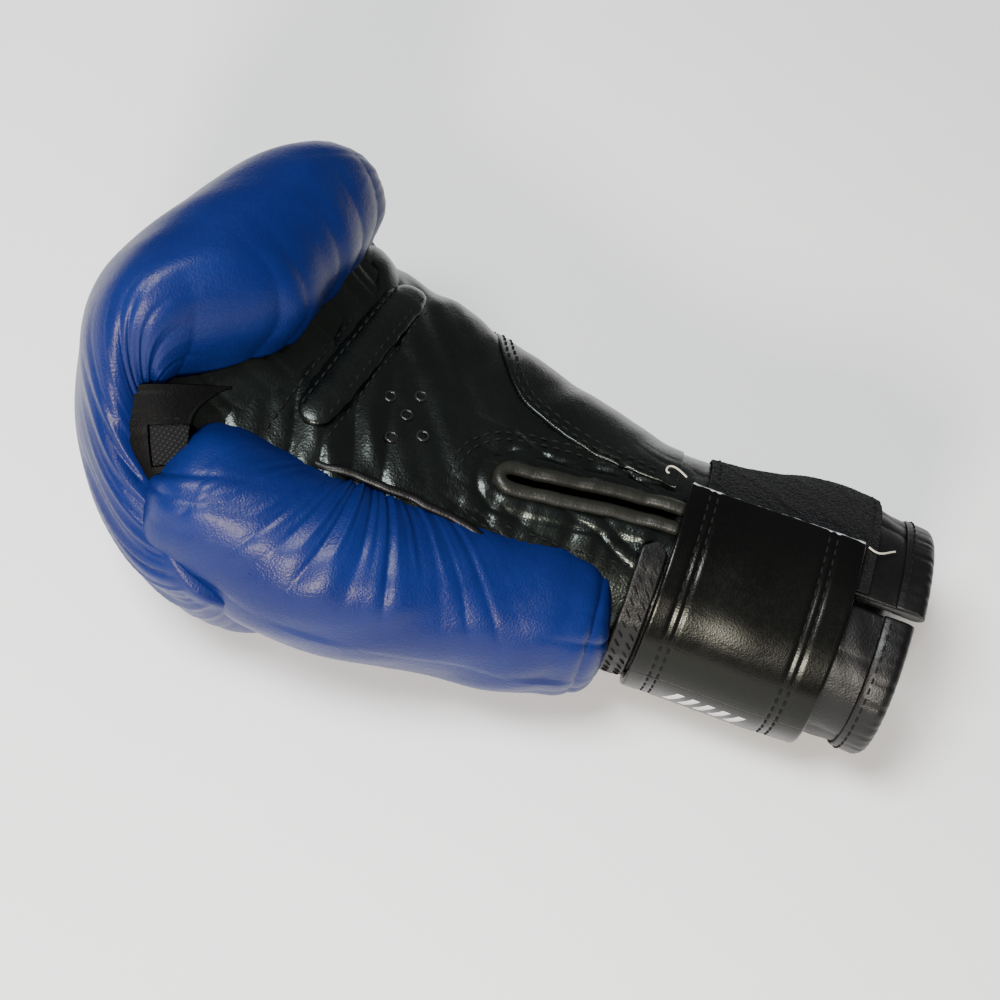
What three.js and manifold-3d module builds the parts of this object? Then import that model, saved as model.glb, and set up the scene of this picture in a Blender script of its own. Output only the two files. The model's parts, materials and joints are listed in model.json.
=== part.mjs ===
// Boxing glove, left hand, lying on its back: knuckles towards +X, thumb towards +Y, palm up.
// Millimetres. Every size below is measured from the cuff's end (x = 0) and the middle of the cuff
// (y = 0); the whole glove is moved onto its own base centre at the end.
import * as THREE from "three";
import { mergeVertices } from "three/addons/utils/BufferGeometryUtils.js";
import { ParametricGeometry } from "three/addons/geometries/ParametricGeometry.js";
import Module from "manifold-3d";

const wasm = await Module();
wasm.setup();

// ---------------------------------------------------------------- driving dimensions
const REST_TRIM = 0.8;             // the padded back is pressed flat by this much where it lies
const LEATHER = 2.0;               // cover leather with its backing
const PALM_LEATHER = 1.6;
const GAP = 0.3;                   // between pieces that touch
const LINING = 0.9;                // sewn cloth lining
const HAND_START = 88;             // where the cuff ends and the hand begins
const CORE_LEAD = 10;              // the curled fingers' core leans forward by this at the thumb side
const FOREMOST_Y = 12;             // y of the foremost knuckle
const KNUCKLE_X = 214;             // knuckle crease at y = 0
const KNUCKLE_SLOPE = 0.27;        // it runs this far forward per millimetre towards the thumb
const SLIT_END_X = 143;            // round end of the palm slit
const STRAP_X = [27, 86];          // strap edges
const STRAP_TOP = 5.0;             // strap's outer face above the cuff
const CUFF_PAD = 3.8;              // padded cuff wall
const FINGER_OPEN_DEG = 8;
const THUMB_PER_FINGER = 0.6;

// Cushion tables. Each row is one rib: outline x z, core line x z, half width to the little-finger
// side, half width to the thumb side, forward lead of the thumb side, roundness of the edge.
const COVER_ROWS = [
  [76, 6, 76, 38, 38, 38, 0, 2.0], [88, 5.5, 88, 38, 38, 38, 0, 2.0],
  [115, 2.5, 115, 38, 44, 42, 0, 2.3], [150, 0.4, 150, 38, 53, 50, 0, 2.8],
  [185, 0, 182, 40, 62, 61, 0, 3.2], [215, 1, 208, 43, 69, 71, 0, 3.2],
  [244, 10, 224, 48, 73, 77, 0, 3.2], [267, 26, 236, 53, 75, 79, 0, 3.2],
  [280, 50, 240, 60, 75, 73, 0, 3.2], [283, 76, 240, 67, 75, 60, -2, 3.2],
  [276, 100, 238, 73, 74, 49, 2, 3.2], [260, 117, 234, 78, 73, 43, 9, 3.2],
  [242, 121, 230, 81, 72, 41, 17, 3.2], [226, 114, 227, 82, 70, 40, 24, 3.2],
  [217, 100, 225, 82, 68, 42, 28, 3.2], [218, 86, 222, 81, 66, 45, 24, 3.2]];
const PALM_ROWS = [
  [76, 69, 76, 38, 38, 38, 0, 2.0], [88, 69.5, 88, 38, 38, 38, 0, 2.0],
  [115, 71, 115, 38, 43, 41, 0, 2.3], [150, 74, 150, 38, 51, 48, 0, 2.8],
  [185, 77, 182, 40, 58, 54, 0, 3.2], [208, 79, 206, 43, 62, 57, 3, 3.2],
  [219, 80, 218, 46, 64, 52, 12, 3.2], [227, 80.5, 226, 49, 65, 48, 16, 3.2]];
// Thumb spine: x y z, radius across, radius up.
const THUMB_ROWS = [
  [97, 33, 38, 8, 10], [99, 33.5, 38, 16, 18.5], [104, 34, 38, 20.5, 23.5],
  [116, 36, 39, 23.5, 26], [146, 42, 43, 25, 27], [188, 51, 50, 26, 28], [215, 50, 56, 25.5, 27.5],
  [230, 49, 58, 24, 26], [240, 48.5, 60, 18.5, 20], [245, 48, 61, 9, 10]];
// Space for the hand: x z of its middle line, half width, half thickness.
const HAND_SPACE = [
  [66, 37, 31, 25], [88, 38, 31, 24.5], [125, 43, 33, 18.5], [165, 49, 37, 14.5], [200, 55, 39, 13],
  [222, 63.5, 38, 11], [236, 78, 30, 9], [242, 92, 20, 6]];
// Space for the thumb: x y z, radius.
const THUMB_SPACE = [
  [96, 10, 40, 9], [112, 24, 40, 11], [130, 35, 41, 12], [160, 45, 45, 12], [190, 50, 50, 11.5],
  [214, 50, 55, 10], [224, 49.5, 57, 7]];

// ---------------------------------------------------------------- curves
function curve(knots, values, t) {
  // Cubic through the knots, with the slopes of a central difference.
  const n = knots.length;
  const slope = (i) => {
    const a = Math.max(i - 1, 0);
    const b = Math.min(i + 1, n - 1);
    return (values[b] - values[a]) / (knots[b] - knots[a]);
  };
  let i = 0;
  while (i < n - 2 && t > knots[i + 1]) i += 1;
  const h = knots[i + 1] - knots[i];
  const s = Math.min(Math.max((t - knots[i]) / h, 0), 1);
  const s2 = s * s;
  const s3 = s2 * s;
  return (2 * s3 - 3 * s2 + 1) * values[i] + (s3 - 2 * s2 + s) * h * slope(i)
    + (3 * s2 - 2 * s3) * values[i + 1] + (s3 - s2) * h * slope(i + 1);
}

function chordKnots(rows, columns) {
  const knots = [0];
  for (let i = 1; i < rows.length; i += 1) {
    const step = Math.hypot(...columns.map((c) => rows[i][c] - rows[i - 1][c]));
    knots.push(knots[i - 1] + step);
  }
  return knots.map((k) => k / knots[knots.length - 1]);
}

function row(rows, knots, t) {
  return rows[0].map((_, c) => curve(knots, rows.map((r) => r[c]), t));
}

const ease = (v) => {
  const s = Math.min(Math.max(v, 0), 1);
  return s * s * (3 - 2 * s);
};
const signedPower = (v, p) => Math.sign(v) * Math.abs(v) ** p;

function fallBack(x, y) {
  // The knuckle line falls back on both sides of its foremost point.
  const near = Math.max(y - FOREMOST_Y, 0);
  const far = Math.max(FOREMOST_Y - y, 0);
  const reach = -0.0085 * near * near - 0.5 * (Math.hypot(far, 12) - 12);
  return x + ease((x - 150) / 135) * reach;
}
const sway = (x) => -3 * ease((x - 70) / 160);

// ---------------------------------------------------------------- solids
function skin(loops) {
  // Surface over a list of closed loops of equal length; the first and last close on themselves.
  const [rowsUp, around] = [loops.length - 1, loops[0].length];
  const raw = new ParametricGeometry((u, v, target) => {
    target.set(...loops[Math.round(v * rowsUp)][Math.round(u * around) % around]);
  }, around, rowsUp);
  raw.deleteAttribute("normal");
  raw.deleteAttribute("uv");
  const welded = mergeVertices(raw, 1e-3);
  const index = Array.from(welded.index.array);
  const kept = [];
  for (let i = 0; i < index.length; i += 3) {
    const [a, b, c] = index.slice(i, i + 3);
    if (a !== b && b !== c && a !== c) kept.push(a, b, c);
  }
  const at = (i) => new THREE.Vector3().fromBufferAttribute(welded.attributes.position, i);
  let volume = 0;
  for (let i = 0; i < kept.length; i += 3) {
    volume += at(kept[i]).dot(at(kept[i + 1]).cross(at(kept[i + 2])));
  }
  if (volume < 0) {
    for (let i = 0; i < kept.length; i += 3) [kept[i], kept[i + 1]] = [kept[i + 1], kept[i]];
  }
  welded.setIndex(kept);
  return welded;
}

function loft(loops) {
  // Solid over closed loops of equal length, each end drawn to its middle.
  const middle = (loop) => {
    const mid = [0, 1, 2].map((c) => loop.reduce((sum, q) => sum + q[c], 0) / loop.length);
    return loop.map(() => mid);
  };
  return skin([middle(loops[0]), ...loops, middle(loops[loops.length - 1])]);
}

function slab(point, nu, nv) {
  // Solid sheet between point(u, v, 0) and point(u, v, 1), skinned along u.
  const loops = [];
  for (let i = 0; i <= nu; i += 1) {
    const loop = [];
    for (let j = 0; j <= nv; j += 1) loop.push(point(i / nu, j / nv, 1));
    for (let j = nv; j >= 0; j -= 1) loop.push(point(i / nu, j / nv, 0));
    loops.push(loop);
  }
  const closed = (loop) => loop.map((q, k) => {
    const partner = loop[loop.length - 1 - k];
    return q.map((value, c) => (value + partner[c]) / 2);
  });
  return skin([closed(loops[0]), ...loops, closed(loops[nu])]);
}

function cushion(rows, inset, past, ribs, steps) {
  // One padded half of the hand, drawn in by inset; its open side lies past the core line.
  const knots = chordKnots(rows, [0, 1]);
  const loops = [];
  for (let i = 0; i <= ribs; i += 1) {
    const [xo, zo, xs, zs, little, index, lead, round] = row(rows, knots, i / ribs);
    const coreLead = CORE_LEAD * ease((xs - 214) / 30) * ease((zs - 48) / 30);
    const length = Math.hypot(xo - xs, zo - zs);
    const [dx, dz] = [(xo - xs) / length, (zo - zs) / length];
    const at = (side, out) => {
      const y = side * ((side > 0 ? index : little) - inset);
      const reach = (length - inset) * out - (out === 0 ? past : 0);
      const x = xs + dx * reach + ease(y / 40) * (lead * out + coreLead * (1 - out));
      return [fallBack(x, y), y + sway(x), zs + dz * reach];
    };
    const loop = [];
    for (let j = 0; j <= steps; j += 1) {
      const th = -Math.PI / 2 + (Math.PI * j) / steps;
      const out = Math.max(signedPower(Math.cos(th), 2 / round), 1e-6);
      loop.push(at(signedPower(Math.sin(th), 2 / round), j === 0 || j === steps ? 1e-6 : out));
    }
    for (let j = 0; j <= 4; j += 1) loop.push(at(1 - j / 2, 0));
    loops.push(loop);
  }
  return loft(loops);
}

function tube(rows, grow, rings, steps, round = 2.2) {
  // Closed sleeve round a spine; rows hold x y z and two radii.
  const knots = chordKnots(rows, [0, 1, 2]);
  const loops = [];
  const spine = (t) => new THREE.Vector3(...row(rows, knots, t).slice(0, 3));
  for (let i = 0; i <= rings; i += 1) {
    const t = i / rings;
    const tangent = spine(Math.min(t + 0.01, 1)).sub(spine(Math.max(t - 0.01, 0))).normalize();
    const side = new THREE.Vector3(0, 0, 1).cross(tangent).normalize();
    const up = tangent.clone().cross(side);
    const [across, high] = row(rows, knots, t).slice(3);
    const centre = spine(t).addScaledVector(tangent, grow * (2 * t - 1) ** 3);
    const loop = [];
    for (let j = 0; j < steps; j += 1) {
      const a = (2 * Math.PI * j) / steps;
      const [c, s] = [Math.cos(a), Math.sin(a)].map((v) => signedPower(v, 2 / round));
      const q = centre.clone().addScaledVector(side, c * Math.max(across + grow, 0.3))
        .addScaledVector(up, s * Math.max(high + grow, 0.3));
      loop.push(q.toArray());
    }
    loops.push(loop);
  }
  return loft(loops);
}

const handSpace = (grow, rings = 12, steps = 14) => tube(
  HAND_SPACE.map(([x, z, half, thick]) => [x, -6 * ease((x - 88) / 60), z, half, thick]),
  grow, rings, steps, 2.3);
const thumbSpace = (grow) => tube(THUMB_SPACE.map((r) => [...r, r[3]]), grow, 9, 8, 2);
const thumbForm = (grow, rings = 13, steps = 14) => tube(THUMB_ROWS, grow, rings, steps);

function ring(x, degrees, grow) {
  // Point on the cuff's oval, grown outwards; the little-finger flap stands a little proud.
  const t = (degrees * Math.PI) / 180;
  const bulge = 7 * Math.exp(-(((degrees + 62) / 36) ** 2) - ((x - 36) / 26) ** 2);
  const a = curve([0, 20, 50, 80, 95], [40, 38.5, 38, 38, 39], x) + grow + bulge;
  const b = curve([0, 20, 50, 80, 95], [31, 31.5, 32, 32, 32.5], x) + grow + bulge;
  const z0 = curve([0, 50, 95], [36, 36, 37.5], x);
  return [x, a * Math.sin(t), z0 + b * Math.cos(t)];
}

function sector(x0, x1, t0, t1, g0, g1) {
  // Curved sheet on the cuff. All sheets share their corner stations, so layers nest exactly.
  const stations = (from, to, step) => {
    const list = [from];
    for (let v = (Math.floor(from / step) + 1) * step; v < to - 0.2 * step; v += step) {
      if (v > from + 0.2 * step) list.push(v);
    }
    return [...list, to];
  };
  const xs = stations(x0, x1, 16);
  const ts = stations(t0, t1, 12);
  const onFacets = (x, t, g) => {
    // Straight between the stations on either side, so an edge between them lies on the facet.
    const [xa, ta] = [Math.floor(x / 16) * 16, Math.floor(t / 12) * 12];
    const [fx, ft] = [(x - xa) / 16, (t - ta) / 12];
    const mix = (a, b, f) => a.map((value, c) => value + (b[c] - value) * f);
    const low = mix(ring(xa, ta, g), ring(xa + 16, ta, g), fx);
    return mix(low, mix(ring(xa, ta + 12, g), ring(xa + 16, ta + 12, g), fx), ft);
  };
  const point = (u, v, w) => onFacets(xs[Math.round(u * (xs.length - 1))],
    ts[Math.round(v * (ts.length - 1))], w ? g1 : g0);
  return slab(point, xs.length - 1, ts.length - 1);
}

const solid = (geometry) => {
  const bare = geometry.clone();
  bare.deleteAttribute("normal");
  bare.deleteAttribute("uv");
  const merged = mergeVertices(bare, 1e-4);
  return new wasm.Manifold(new wasm.Mesh({
    numProp: 3,
    vertProperties: new Float32Array(merged.attributes.position.array),
    triVerts: new Uint32Array(merged.index.array),
  }));
};
const joined = (...list) => list.map(solid).reduce((a, b) => a.add(b));
const cut = (base, ...tools) => tools.reduce((a, b) => a.subtract(b), base);

function block(x0, x1, y0, y1, z0, z1) {
  const g = new THREE.BoxGeometry(x1 - x0, y1 - y0, z1 - z0);
  g.translate((x0 + x1) / 2, (y0 + y1) / 2, (z0 + z1) / 2);
  return solid(g);
}

function turned(geometry, at, axis, degrees) {
  const g = geometry.clone();
  const rotation = new THREE.Quaternion().setFromAxisAngle(axis, (degrees * Math.PI) / 180);
  g.translate(-at.x, -at.y, -at.z);
  g.applyQuaternion(rotation);
  g.translate(at.x, at.y, at.z);
  return g;
}

// ---------------------------------------------------------------- hinges
const FINGER_AT = new THREE.Vector3(KNUCKLE_X, 0, REST_TRIM);
const FINGER_AXIS = new THREE.Vector3(KNUCKLE_SLOPE, 1, 0).normalize();
const THUMB_AT = new THREE.Vector3(100, 30, 38);
const THUMB_AXIS = new THREE.Vector3(0, -0.6, 0.8);
const openSteps = [0, 0.5, 1];

function kneePrism(gap, ahead) {
  // Everything ahead of (or behind) the knuckle crease.
  const g = new THREE.BoxGeometry(400, 400, 300);
  g.translate(ahead ? 200 + gap : -200 - gap, 0, 100);
  g.rotateZ(-Math.atan(KNUCKLE_SLOPE));
  g.translate(KNUCKLE_X, 0, 0);
  return solid(g);
}

// Room the thumb sweeps through as seen from the palm, and as seen from the fingers.
const sweepPalm = openSteps.map((s) => turned(
  thumbForm(0.6), THUMB_AT, THUMB_AXIS, s * FINGER_OPEN_DEG * THUMB_PER_FINGER));
const sweepFingers = openSteps.map((s, i) => turned(
  sweepPalm[i], FINGER_AT, FINGER_AXIS, -s * FINGER_OPEN_DEG));
const thumbRoom = joined(...sweepPalm);
const fingerRoom = joined(...sweepPalm, ...sweepFingers);

const behind = kneePrism(0.15, false);
const ahead = kneePrism(0.15, true);
const aboveRest = block(-50, 400, -200, 200, REST_TRIM, 300);
const pastCuff = block(HAND_START + 0.2, 400, -200, 200, -50, 300);
const handRoom = solid(handSpace(LINING + GAP));
const palmClear = solid(handSpace(LINING + 1.2));
const handHollow = solid(handSpace(0));
const thumbDoor = solid(thumbSpace(0));
const thumbRoomInner = solid(thumbSpace(LINING + GAP));
const thumbSleeve = joined(...openSteps.map((s) => turned(
  thumbSpace(LINING + GAP), THUMB_AT, THUMB_AXIS, s * FINGER_OPEN_DEG * THUMB_PER_FINGER)));

// ---------------------------------------------------------------- palm details
const palmZ = (x, y) => {
  // Height of the palm's face, from the same rib as the palm cushion.
  const knots = PALM_ROWS.map((r) => r[0]);
  const at = (c) => curve(knots, PALM_ROWS.map((r) => r[c]), x);
  const half = y > 0 ? at(5) : at(4);
  const side = Math.min(Math.abs(y - sway(x)) / half, 1);
  return at(3) + (at(1) - at(3)) * (1 - side ** at(7)) ** (1 / at(7));
};

const slitY = (x) => 5 + 10 * ease((x - 84) / 75);
const slit = solid(slab((u, v, w) => {
  const x = 80 + (SLIT_END_X - 80) * u;
  const half = 3 * Math.sqrt(Math.max(1 - ((x - SLIT_END_X + 3) / 3) ** 2, 0.02));
  const width = x > SLIT_END_X - 3 ? half : 3;
  return [x, slitY(x) + (v - 0.5) * 2 * width, w ? 90 : 50];
}, 12, 1));

function sweepPath(points, radius, rings, steps) {
  const path = new THREE.CatmullRomCurve3(points.map((p) => new THREE.Vector3(...p)));
  const frames = path.computeFrenetFrames(rings, false);
  const loops = [];
  for (let i = 0; i <= rings; i += 1) {
    const c = path.getPointAt(i / rings);
    const loop = [];
    for (let j = 0; j < steps; j += 1) {
      const a = (2 * Math.PI * j) / steps;
      loop.push(c.clone().addScaledVector(frames.normals[i], radius * Math.cos(a))
        .addScaledVector(frames.binormals[i], radius * Math.sin(a)).toArray());
    }
    loops.push(loop);
  }
  return loft(loops);
}

const bindingPath = [];
for (const [x, side] of [[91, -1], [108, -1], [125, -1], [137, -1], [143.5, -0.75], [146.2, 0],
  [143.5, 0.75], [137, 1], [125, 1], [108, 1], [91, 1]]) {
  const y = slitY(x) + side * 4.6;
  bindingPath.push([x, y, palmZ(x, y) + 2.4]);
}
const weltAt = (r) => sweepPath([110, 125, 142, 160, 178, 194, 208].map((x) => {
  // The welt keeps to the palm's side of the thumb, along its upper inner edge.
  const [, y, z, across, high] = row(THUMB_ROWS, THUMB_ROWS.map((q) => q[0]), x);
  const top = palmZ(x, y - across * 0.6);
  const inner = Math.max(1 - (Math.abs(top - z) / (high + 1)) ** 2.2, 0) ** (1 / 2.2);
  const edge = y - (across + 1) * inner - 3.2;
  return [x, edge, palmZ(x, edge) + 1.9];
}), r, 12, 6);

// Little-finger side panel, in plan.
const PANEL = [[70, -95], [70, -7], [100, -6.5], [126, -9.5], [146, -18], [156, -34], [161, -50],
  [165, -95]];
function panelPrism(shift) {
  const outline = PANEL.map(([x, y]) => new THREE.Vector2(x + shift, y + shift));
  const g = new THREE.ExtrudeGeometry(new THREE.Shape(outline), { depth: 120, bevelEnabled: false });
  g.translate(0, 0, 20);
  return solid(g);
}

const VENTS = [[178, 6], [185, 1], [171, 11], [176, -3.5], [180, 15.5]];
const EYELET = { outer: 2.3, inner: 1.2, high: 2.6 };
function eyelet(x, y, outer, inner) {
  const shape = new THREE.Shape();
  shape.absarc(0, 0, outer, 0, 2 * Math.PI);
  if (inner) {
    const hole = new THREE.Path();
    hole.absarc(0, 0, inner, 0, 2 * Math.PI, true);
    shape.holes.push(hole);
  }
  const g = new THREE.ExtrudeGeometry(shape, {
    depth: EYELET.high, bevelEnabled: false, curveSegments: 5,
  });
  g.translate(x, y, palmZ(x, y) - EYELET.high + 0.5);
  return g;
}

function gripBar(grow) {
  const rows = [];
  for (const [y, r] of [[-47, 2], [-44, 4.6], [-30, 6.4], [-5, 6.5], [14, 6.4], [21, 4.6], [23, 2]]) {
    const x = 200.5 + 0.22 * y;
    rows.push([x, y, palmZ(x, y) + 3.8, r, Math.min(r * 0.6, 2.6)]);
  }
  return tube(rows, grow, 7, 8, 2);
}

// ---------------------------------------------------------------- hand and fist
const coverForm = (inset, past) => solid(cushion(COVER_ROWS, inset, past, 18, 12));
const palmForm = (inset, past) => solid(cushion(PALM_ROWS, inset, past, 9, 12));
const coverShell = cut(coverForm(0, -0.15), coverForm(LEATHER, 0.5));
const coverFoam = coverForm(LEATHER + GAP, -0.15);
const palmShell = cut(palmForm(0, -0.15), palmForm(PALM_LEATHER, 0.5));
const palmFoam = palmForm(PALM_LEATHER + 2 * GAP, -0.15);
const coverRoom = coverForm(-GAP, 1);

const binding = solid(sweepPath(bindingPath, 2.0, 18, 6));
const welt = solid(weltAt(1.3));
const handParts = [handRoom, thumbRoom, thumbRoomInner];
const behindHand = behind.intersect(pastCuff);


const SLIVER = 0.03;              // cuts leave edges shorter than this, which are closed up
function closedUp({ vertProperties: at, triVerts: corners }) {
  // Both ends of a very short edge become one vertex, and the triangles that vanish are dropped.
  const kept = Array.from({ length: at.length / 3 }, (_, i) => i);
  const root = (i) => {
    let r = i;
    while (kept[r] !== r) r = kept[r];
    return r;
  };
  const apart = (i, j) => Math.hypot(...[0, 1, 2].map((c) => at[3 * i + c] - at[3 * j + c]));
  for (let t = 0; t < corners.length; t += 3) {
    for (let k = 0; k < 3; k += 1) {
      const [i, j] = [corners[t + k], corners[t + ((k + 1) % 3)]];
      if (apart(i, j) < SLIVER) kept[Math.max(root(i), root(j))] = Math.min(root(i), root(j));
    }
  }
  const faces = [];
  for (let t = 0; t < corners.length; t += 3) {
    const [a, b, c] = [root(corners[t]), root(corners[t + 1]), root(corners[t + 2])];
    if (a !== b && b !== c && c !== a) faces.push(a, b, c);
  }
  const geometry = new THREE.BufferGeometry();
  geometry.setAttribute("position", new THREE.BufferAttribute(at, 3));
  geometry.setIndex(faces);
  return geometry;
}
const largest = (body) => body.decompose().sort((a, b) => b.volume() - a.volume())[0];
const palmHoles = [slit, ...VENTS.map(([x, y]) => solid(eyelet(x, y, EYELET.outer + GAP, 0)))];
const pastBand = block(HAND_START + 5, 400, -200, 200, -50, 300);
const palmPad = cut(palmFoam.intersect(behindHand).intersect(pastBand), ...handParts, ...palmHoles);
const pastWall = block(HAND_START + 3.9, 400, -200, 200, -50, 300);
const palmCut = cut(palmShell.intersect(behind).intersect(pastWall), thumbRoom, ...palmHoles);

// ---------------------------------------------------------------- tab and web at the thumb's tip
const TAB_FIST = [[262, 26, 86], [266, 40, 78], [262, 54, 66], [254, 65, 52]];
const TAB_THUMB = [[236, 30, 88], [246, 40, 84], [249, 50, 74], [247, 62, 62]];
const along = (list, t) => [0, 1, 2].map((c) => curve([0, 0.34, 0.67, 1], list.map((p) => p[c]), t));
function bridge(t0, t1, s0, s1, thick, lift) {
  return slab((u, v, w) => {
    const t = t0 + (t1 - t0) * v;
    const s = s0 + (s1 - s0) * u;
    const [a, b] = [along(TAB_FIST, t), along(TAB_THUMB, t)];
    const p = [0, 1, 2].map((c) => a[c] + (b[c] - a[c]) * s);
    const out = (w ? thick : 0) + lift;
    return [p[0] + 0.35 * out, p[1] + 0.62 * out, p[2] + 0.7 * out];
  }, 3, 6);
}

const THUMB_STRAP = { from: 126, knee: 55, tip: -10 };
const FLAP_HINGE_DEG = -110;
const SLIT_DEG = 15;

const pieces = [
  ["fist_cover", cut(coverShell.intersect(ahead), fingerRoom), 0x16367d, 0.32],
  ["fist_foam", cut(coverFoam.intersect(ahead), handRoom, fingerRoom), 0xd9cfa8, 0.9],
  ["finger_liner", cut(solid(handSpace(LINING)), handHollow, fingerRoom).intersect(ahead), 0x2a2c30, 0.9],
  ["crease_panel", cut(palmForm(0, -0.15).intersect(ahead), handRoom, fingerRoom, coverRoom),
    0x1a1c1c, 0.4],
  ["back_cover", cut(coverShell.intersect(behindHand).intersect(aboveRest), thumbRoom),
    0x16367d, 0.32],
  ["back_foam", cut(coverFoam.intersect(behindHand), ...handParts), 0xd9cfa8, 0.9],
  ["palm_panel", cut(palmCut, panelPrism(0.15)), 0x1c2423, 0.35],
  ["pinky_side_panel", palmCut.intersect(panelPrism(-0.15)), 0x1a1b1c, 0.35],
  ["palm_pad", palmPad, 0xd9cfa8, 0.9],
  ["hand_liner", cut(solid(handSpace(LINING)), handHollow, slit, thumbRoom, thumbSleeve)
    .intersect(behindHand), 0x2a2c30, 0.9],
  ["grip_bar", solid(gripBar(0)), 0x1c1f1f, 0.4],
  ["slit_binding", binding, 0x2b2e26, 0.45],
  ["thumb_welt", cut(welt, thumbRoom), 0x141414, 0.5],
  ["thumb_cover", cut(solid(thumbForm(0)), solid(thumbForm(-LEATHER)), thumbRoomInner, palmClear),
    0x16367d, 0.32],
  ["thumb_foam", cut(solid(thumbForm(-LEATHER - GAP)), thumbRoomInner, palmClear), 0xd9cfa8, 0.9],
  ["thumb_liner", cut(solid(thumbSpace(LINING)), thumbDoor,
    block(0, 112, -100, 100, -100, 200)), 0x2a2c30, 0.9],
];
for (const [i, [x, y]] of VENTS.entries()) {
  pieces.push([`vent_eyelet_${i + 1}`, solid(eyelet(x, y, EYELET.outer, EYELET.inner)), 0x101010, 0.3]);
}

const roomForTab = [coverRoom, fingerRoom];
pieces.push(["thumb_tab", cut(solid(bridge(0, 0.42, -0.25, 0.8, 1.6, 0.4)), ...roomForTab), 0x161616, 0.45]);
pieces.push(["thumb_web", cut(solid(bridge(0.45, 1, -0.25, 0.8, 1.1, 0.4)), ...roomForTab), 0x101112, 0.7]);

// ---------------------------------------------------------------- cuff, flaps and strap
const [S0, S1] = STRAP_X;
const X1 = HAND_START - GAP;
const back = [SLIT_DEG + 3, 360 + FLAP_HINGE_DEG];
pieces.push(
  ["cuff_wall", solid(sector(3.3, X1, back[0], back[1], -CUFF_PAD, 0)), 0x1b1b1c, 0.4],
  ["cuff_wall_liner", solid(sector(3.3, X1, back[0], back[1], -CUFF_PAD - GAP - LINING,
    -CUFF_PAD - GAP)), 0x2a2c30, 0.9],
  ["cuff_wall_binding", solid(sector(0, 3, back[0], back[1], -CUFF_PAD - 1.6, 0.8)), 0x151515, 0.45],
  ["pinky_flap", solid(sector(3.3, X1, FLAP_HINGE_DEG + 0.8, SLIT_DEG - 3, -CUFF_PAD, 0)),
    0x1b1b1c, 0.4],
  ["pinky_flap_liner", solid(sector(3.3, X1, FLAP_HINGE_DEG + 0.8, SLIT_DEG - 3,
    -CUFF_PAD - 2 * GAP - LINING, -CUFF_PAD - 2 * GAP)), 0x2a2c30, 0.9],
  ["pinky_flap_binding", solid(sector(0, 3, FLAP_HINGE_DEG + 0.8, SLIT_DEG - 3, -CUFF_PAD - 1.6,
    0.8)), 0x151515, 0.45],
  ["loop_panel", solid(sector(22, 80, -96, 12, 2 * GAP, 1.6)), 0x232427, 0.95],
  ["hook_panel", solid(sector(S0 + 5, 76, THUMB_STRAP.tip + 1.5, 9, 1.9, 2.8)), 0x17181a, 0.95],
  ["strap_tip", solid(sector(S0, S1, THUMB_STRAP.tip, THUMB_STRAP.knee - 0.25, 3.1, STRAP_TOP)),
    0x171717, 0.28],
  ["strap_side", solid(sector(S0, S1, THUMB_STRAP.knee + 0.25, THUMB_STRAP.from - 0.25, 3.1,
    STRAP_TOP)), 0x171717, 0.28],
  ["strap_root", solid(sector(S0, S1, THUMB_STRAP.from + 0.25, 156, GAP, STRAP_TOP)), 0x171717, 0.3],
);
const bandShape = sector(S1 + GAP, 95, 24, 118, 0.8, 2.4);
pieces.push(["cuff_front_band", cut(solid(bandShape), coverRoom, palmForm(-GAP, 1), thumbRoom),
  0x161616, 0.45]);

// ---------------------------------------------------------------- the glove
const glove = new THREE.Group();
glove.name = "boxing_glove";
for (const [name, body, color, roughness] of pieces) {
  const geometry = closedUp(largest(body).getMesh());
  const mesh = new THREE.Mesh(geometry, new THREE.MeshStandardMaterial({
    color, roughness, metalness: 0,
  }));
  mesh.name = name;
  glove.add(mesh);
}

// The origin is the middle of the base that the glove lies on.
const extent = new THREE.Box3().setFromObject(glove);
const middle = extent.getCenter(new THREE.Vector3());
glove.position.set(-middle.x, -middle.y, -extent.min.z);

export default glove;
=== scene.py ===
"""A strap-closed boxing glove for the left hand, lying palm up, dressed on its fixed frame.

Shapes are written in the glove's own millimetres: x runs from the cuff's end to the fist, y to the
thumb, z to the palm. One shift takes them into the frame.
"""
import json
import logging
import math
from dataclasses import dataclass, field
from enum import Enum
from typing import Any, Callable, Sequence

import bpy
import numpy as np
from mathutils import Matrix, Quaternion, Vector


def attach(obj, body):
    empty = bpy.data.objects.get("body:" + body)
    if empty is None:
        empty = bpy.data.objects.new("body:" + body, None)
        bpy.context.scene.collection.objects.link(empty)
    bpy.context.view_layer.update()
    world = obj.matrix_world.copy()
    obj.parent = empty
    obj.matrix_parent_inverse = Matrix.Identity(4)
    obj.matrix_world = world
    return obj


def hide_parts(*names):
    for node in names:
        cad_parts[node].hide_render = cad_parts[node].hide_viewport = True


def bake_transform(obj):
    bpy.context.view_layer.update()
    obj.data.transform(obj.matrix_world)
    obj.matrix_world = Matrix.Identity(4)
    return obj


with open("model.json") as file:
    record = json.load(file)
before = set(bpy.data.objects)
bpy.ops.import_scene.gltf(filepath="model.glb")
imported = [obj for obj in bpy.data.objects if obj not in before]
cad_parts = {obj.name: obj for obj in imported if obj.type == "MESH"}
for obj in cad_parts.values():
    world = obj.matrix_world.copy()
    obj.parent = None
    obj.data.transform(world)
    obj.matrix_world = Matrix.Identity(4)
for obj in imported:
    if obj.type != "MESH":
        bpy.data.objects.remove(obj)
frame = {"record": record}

LOG = logging.getLogger("glove")
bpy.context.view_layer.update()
JOINTS = {j["name"]: j for j in frame["record"]["behaviour"]["joints"]}
# The knuckle joint stands at (214, 0, 0.8) mm in the glove's own millimetres.
ORIGIN = np.array(JOINTS["finger_flex"]["pos_m"], float) - np.array([0.214, 0.0, 0.0008])


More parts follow.
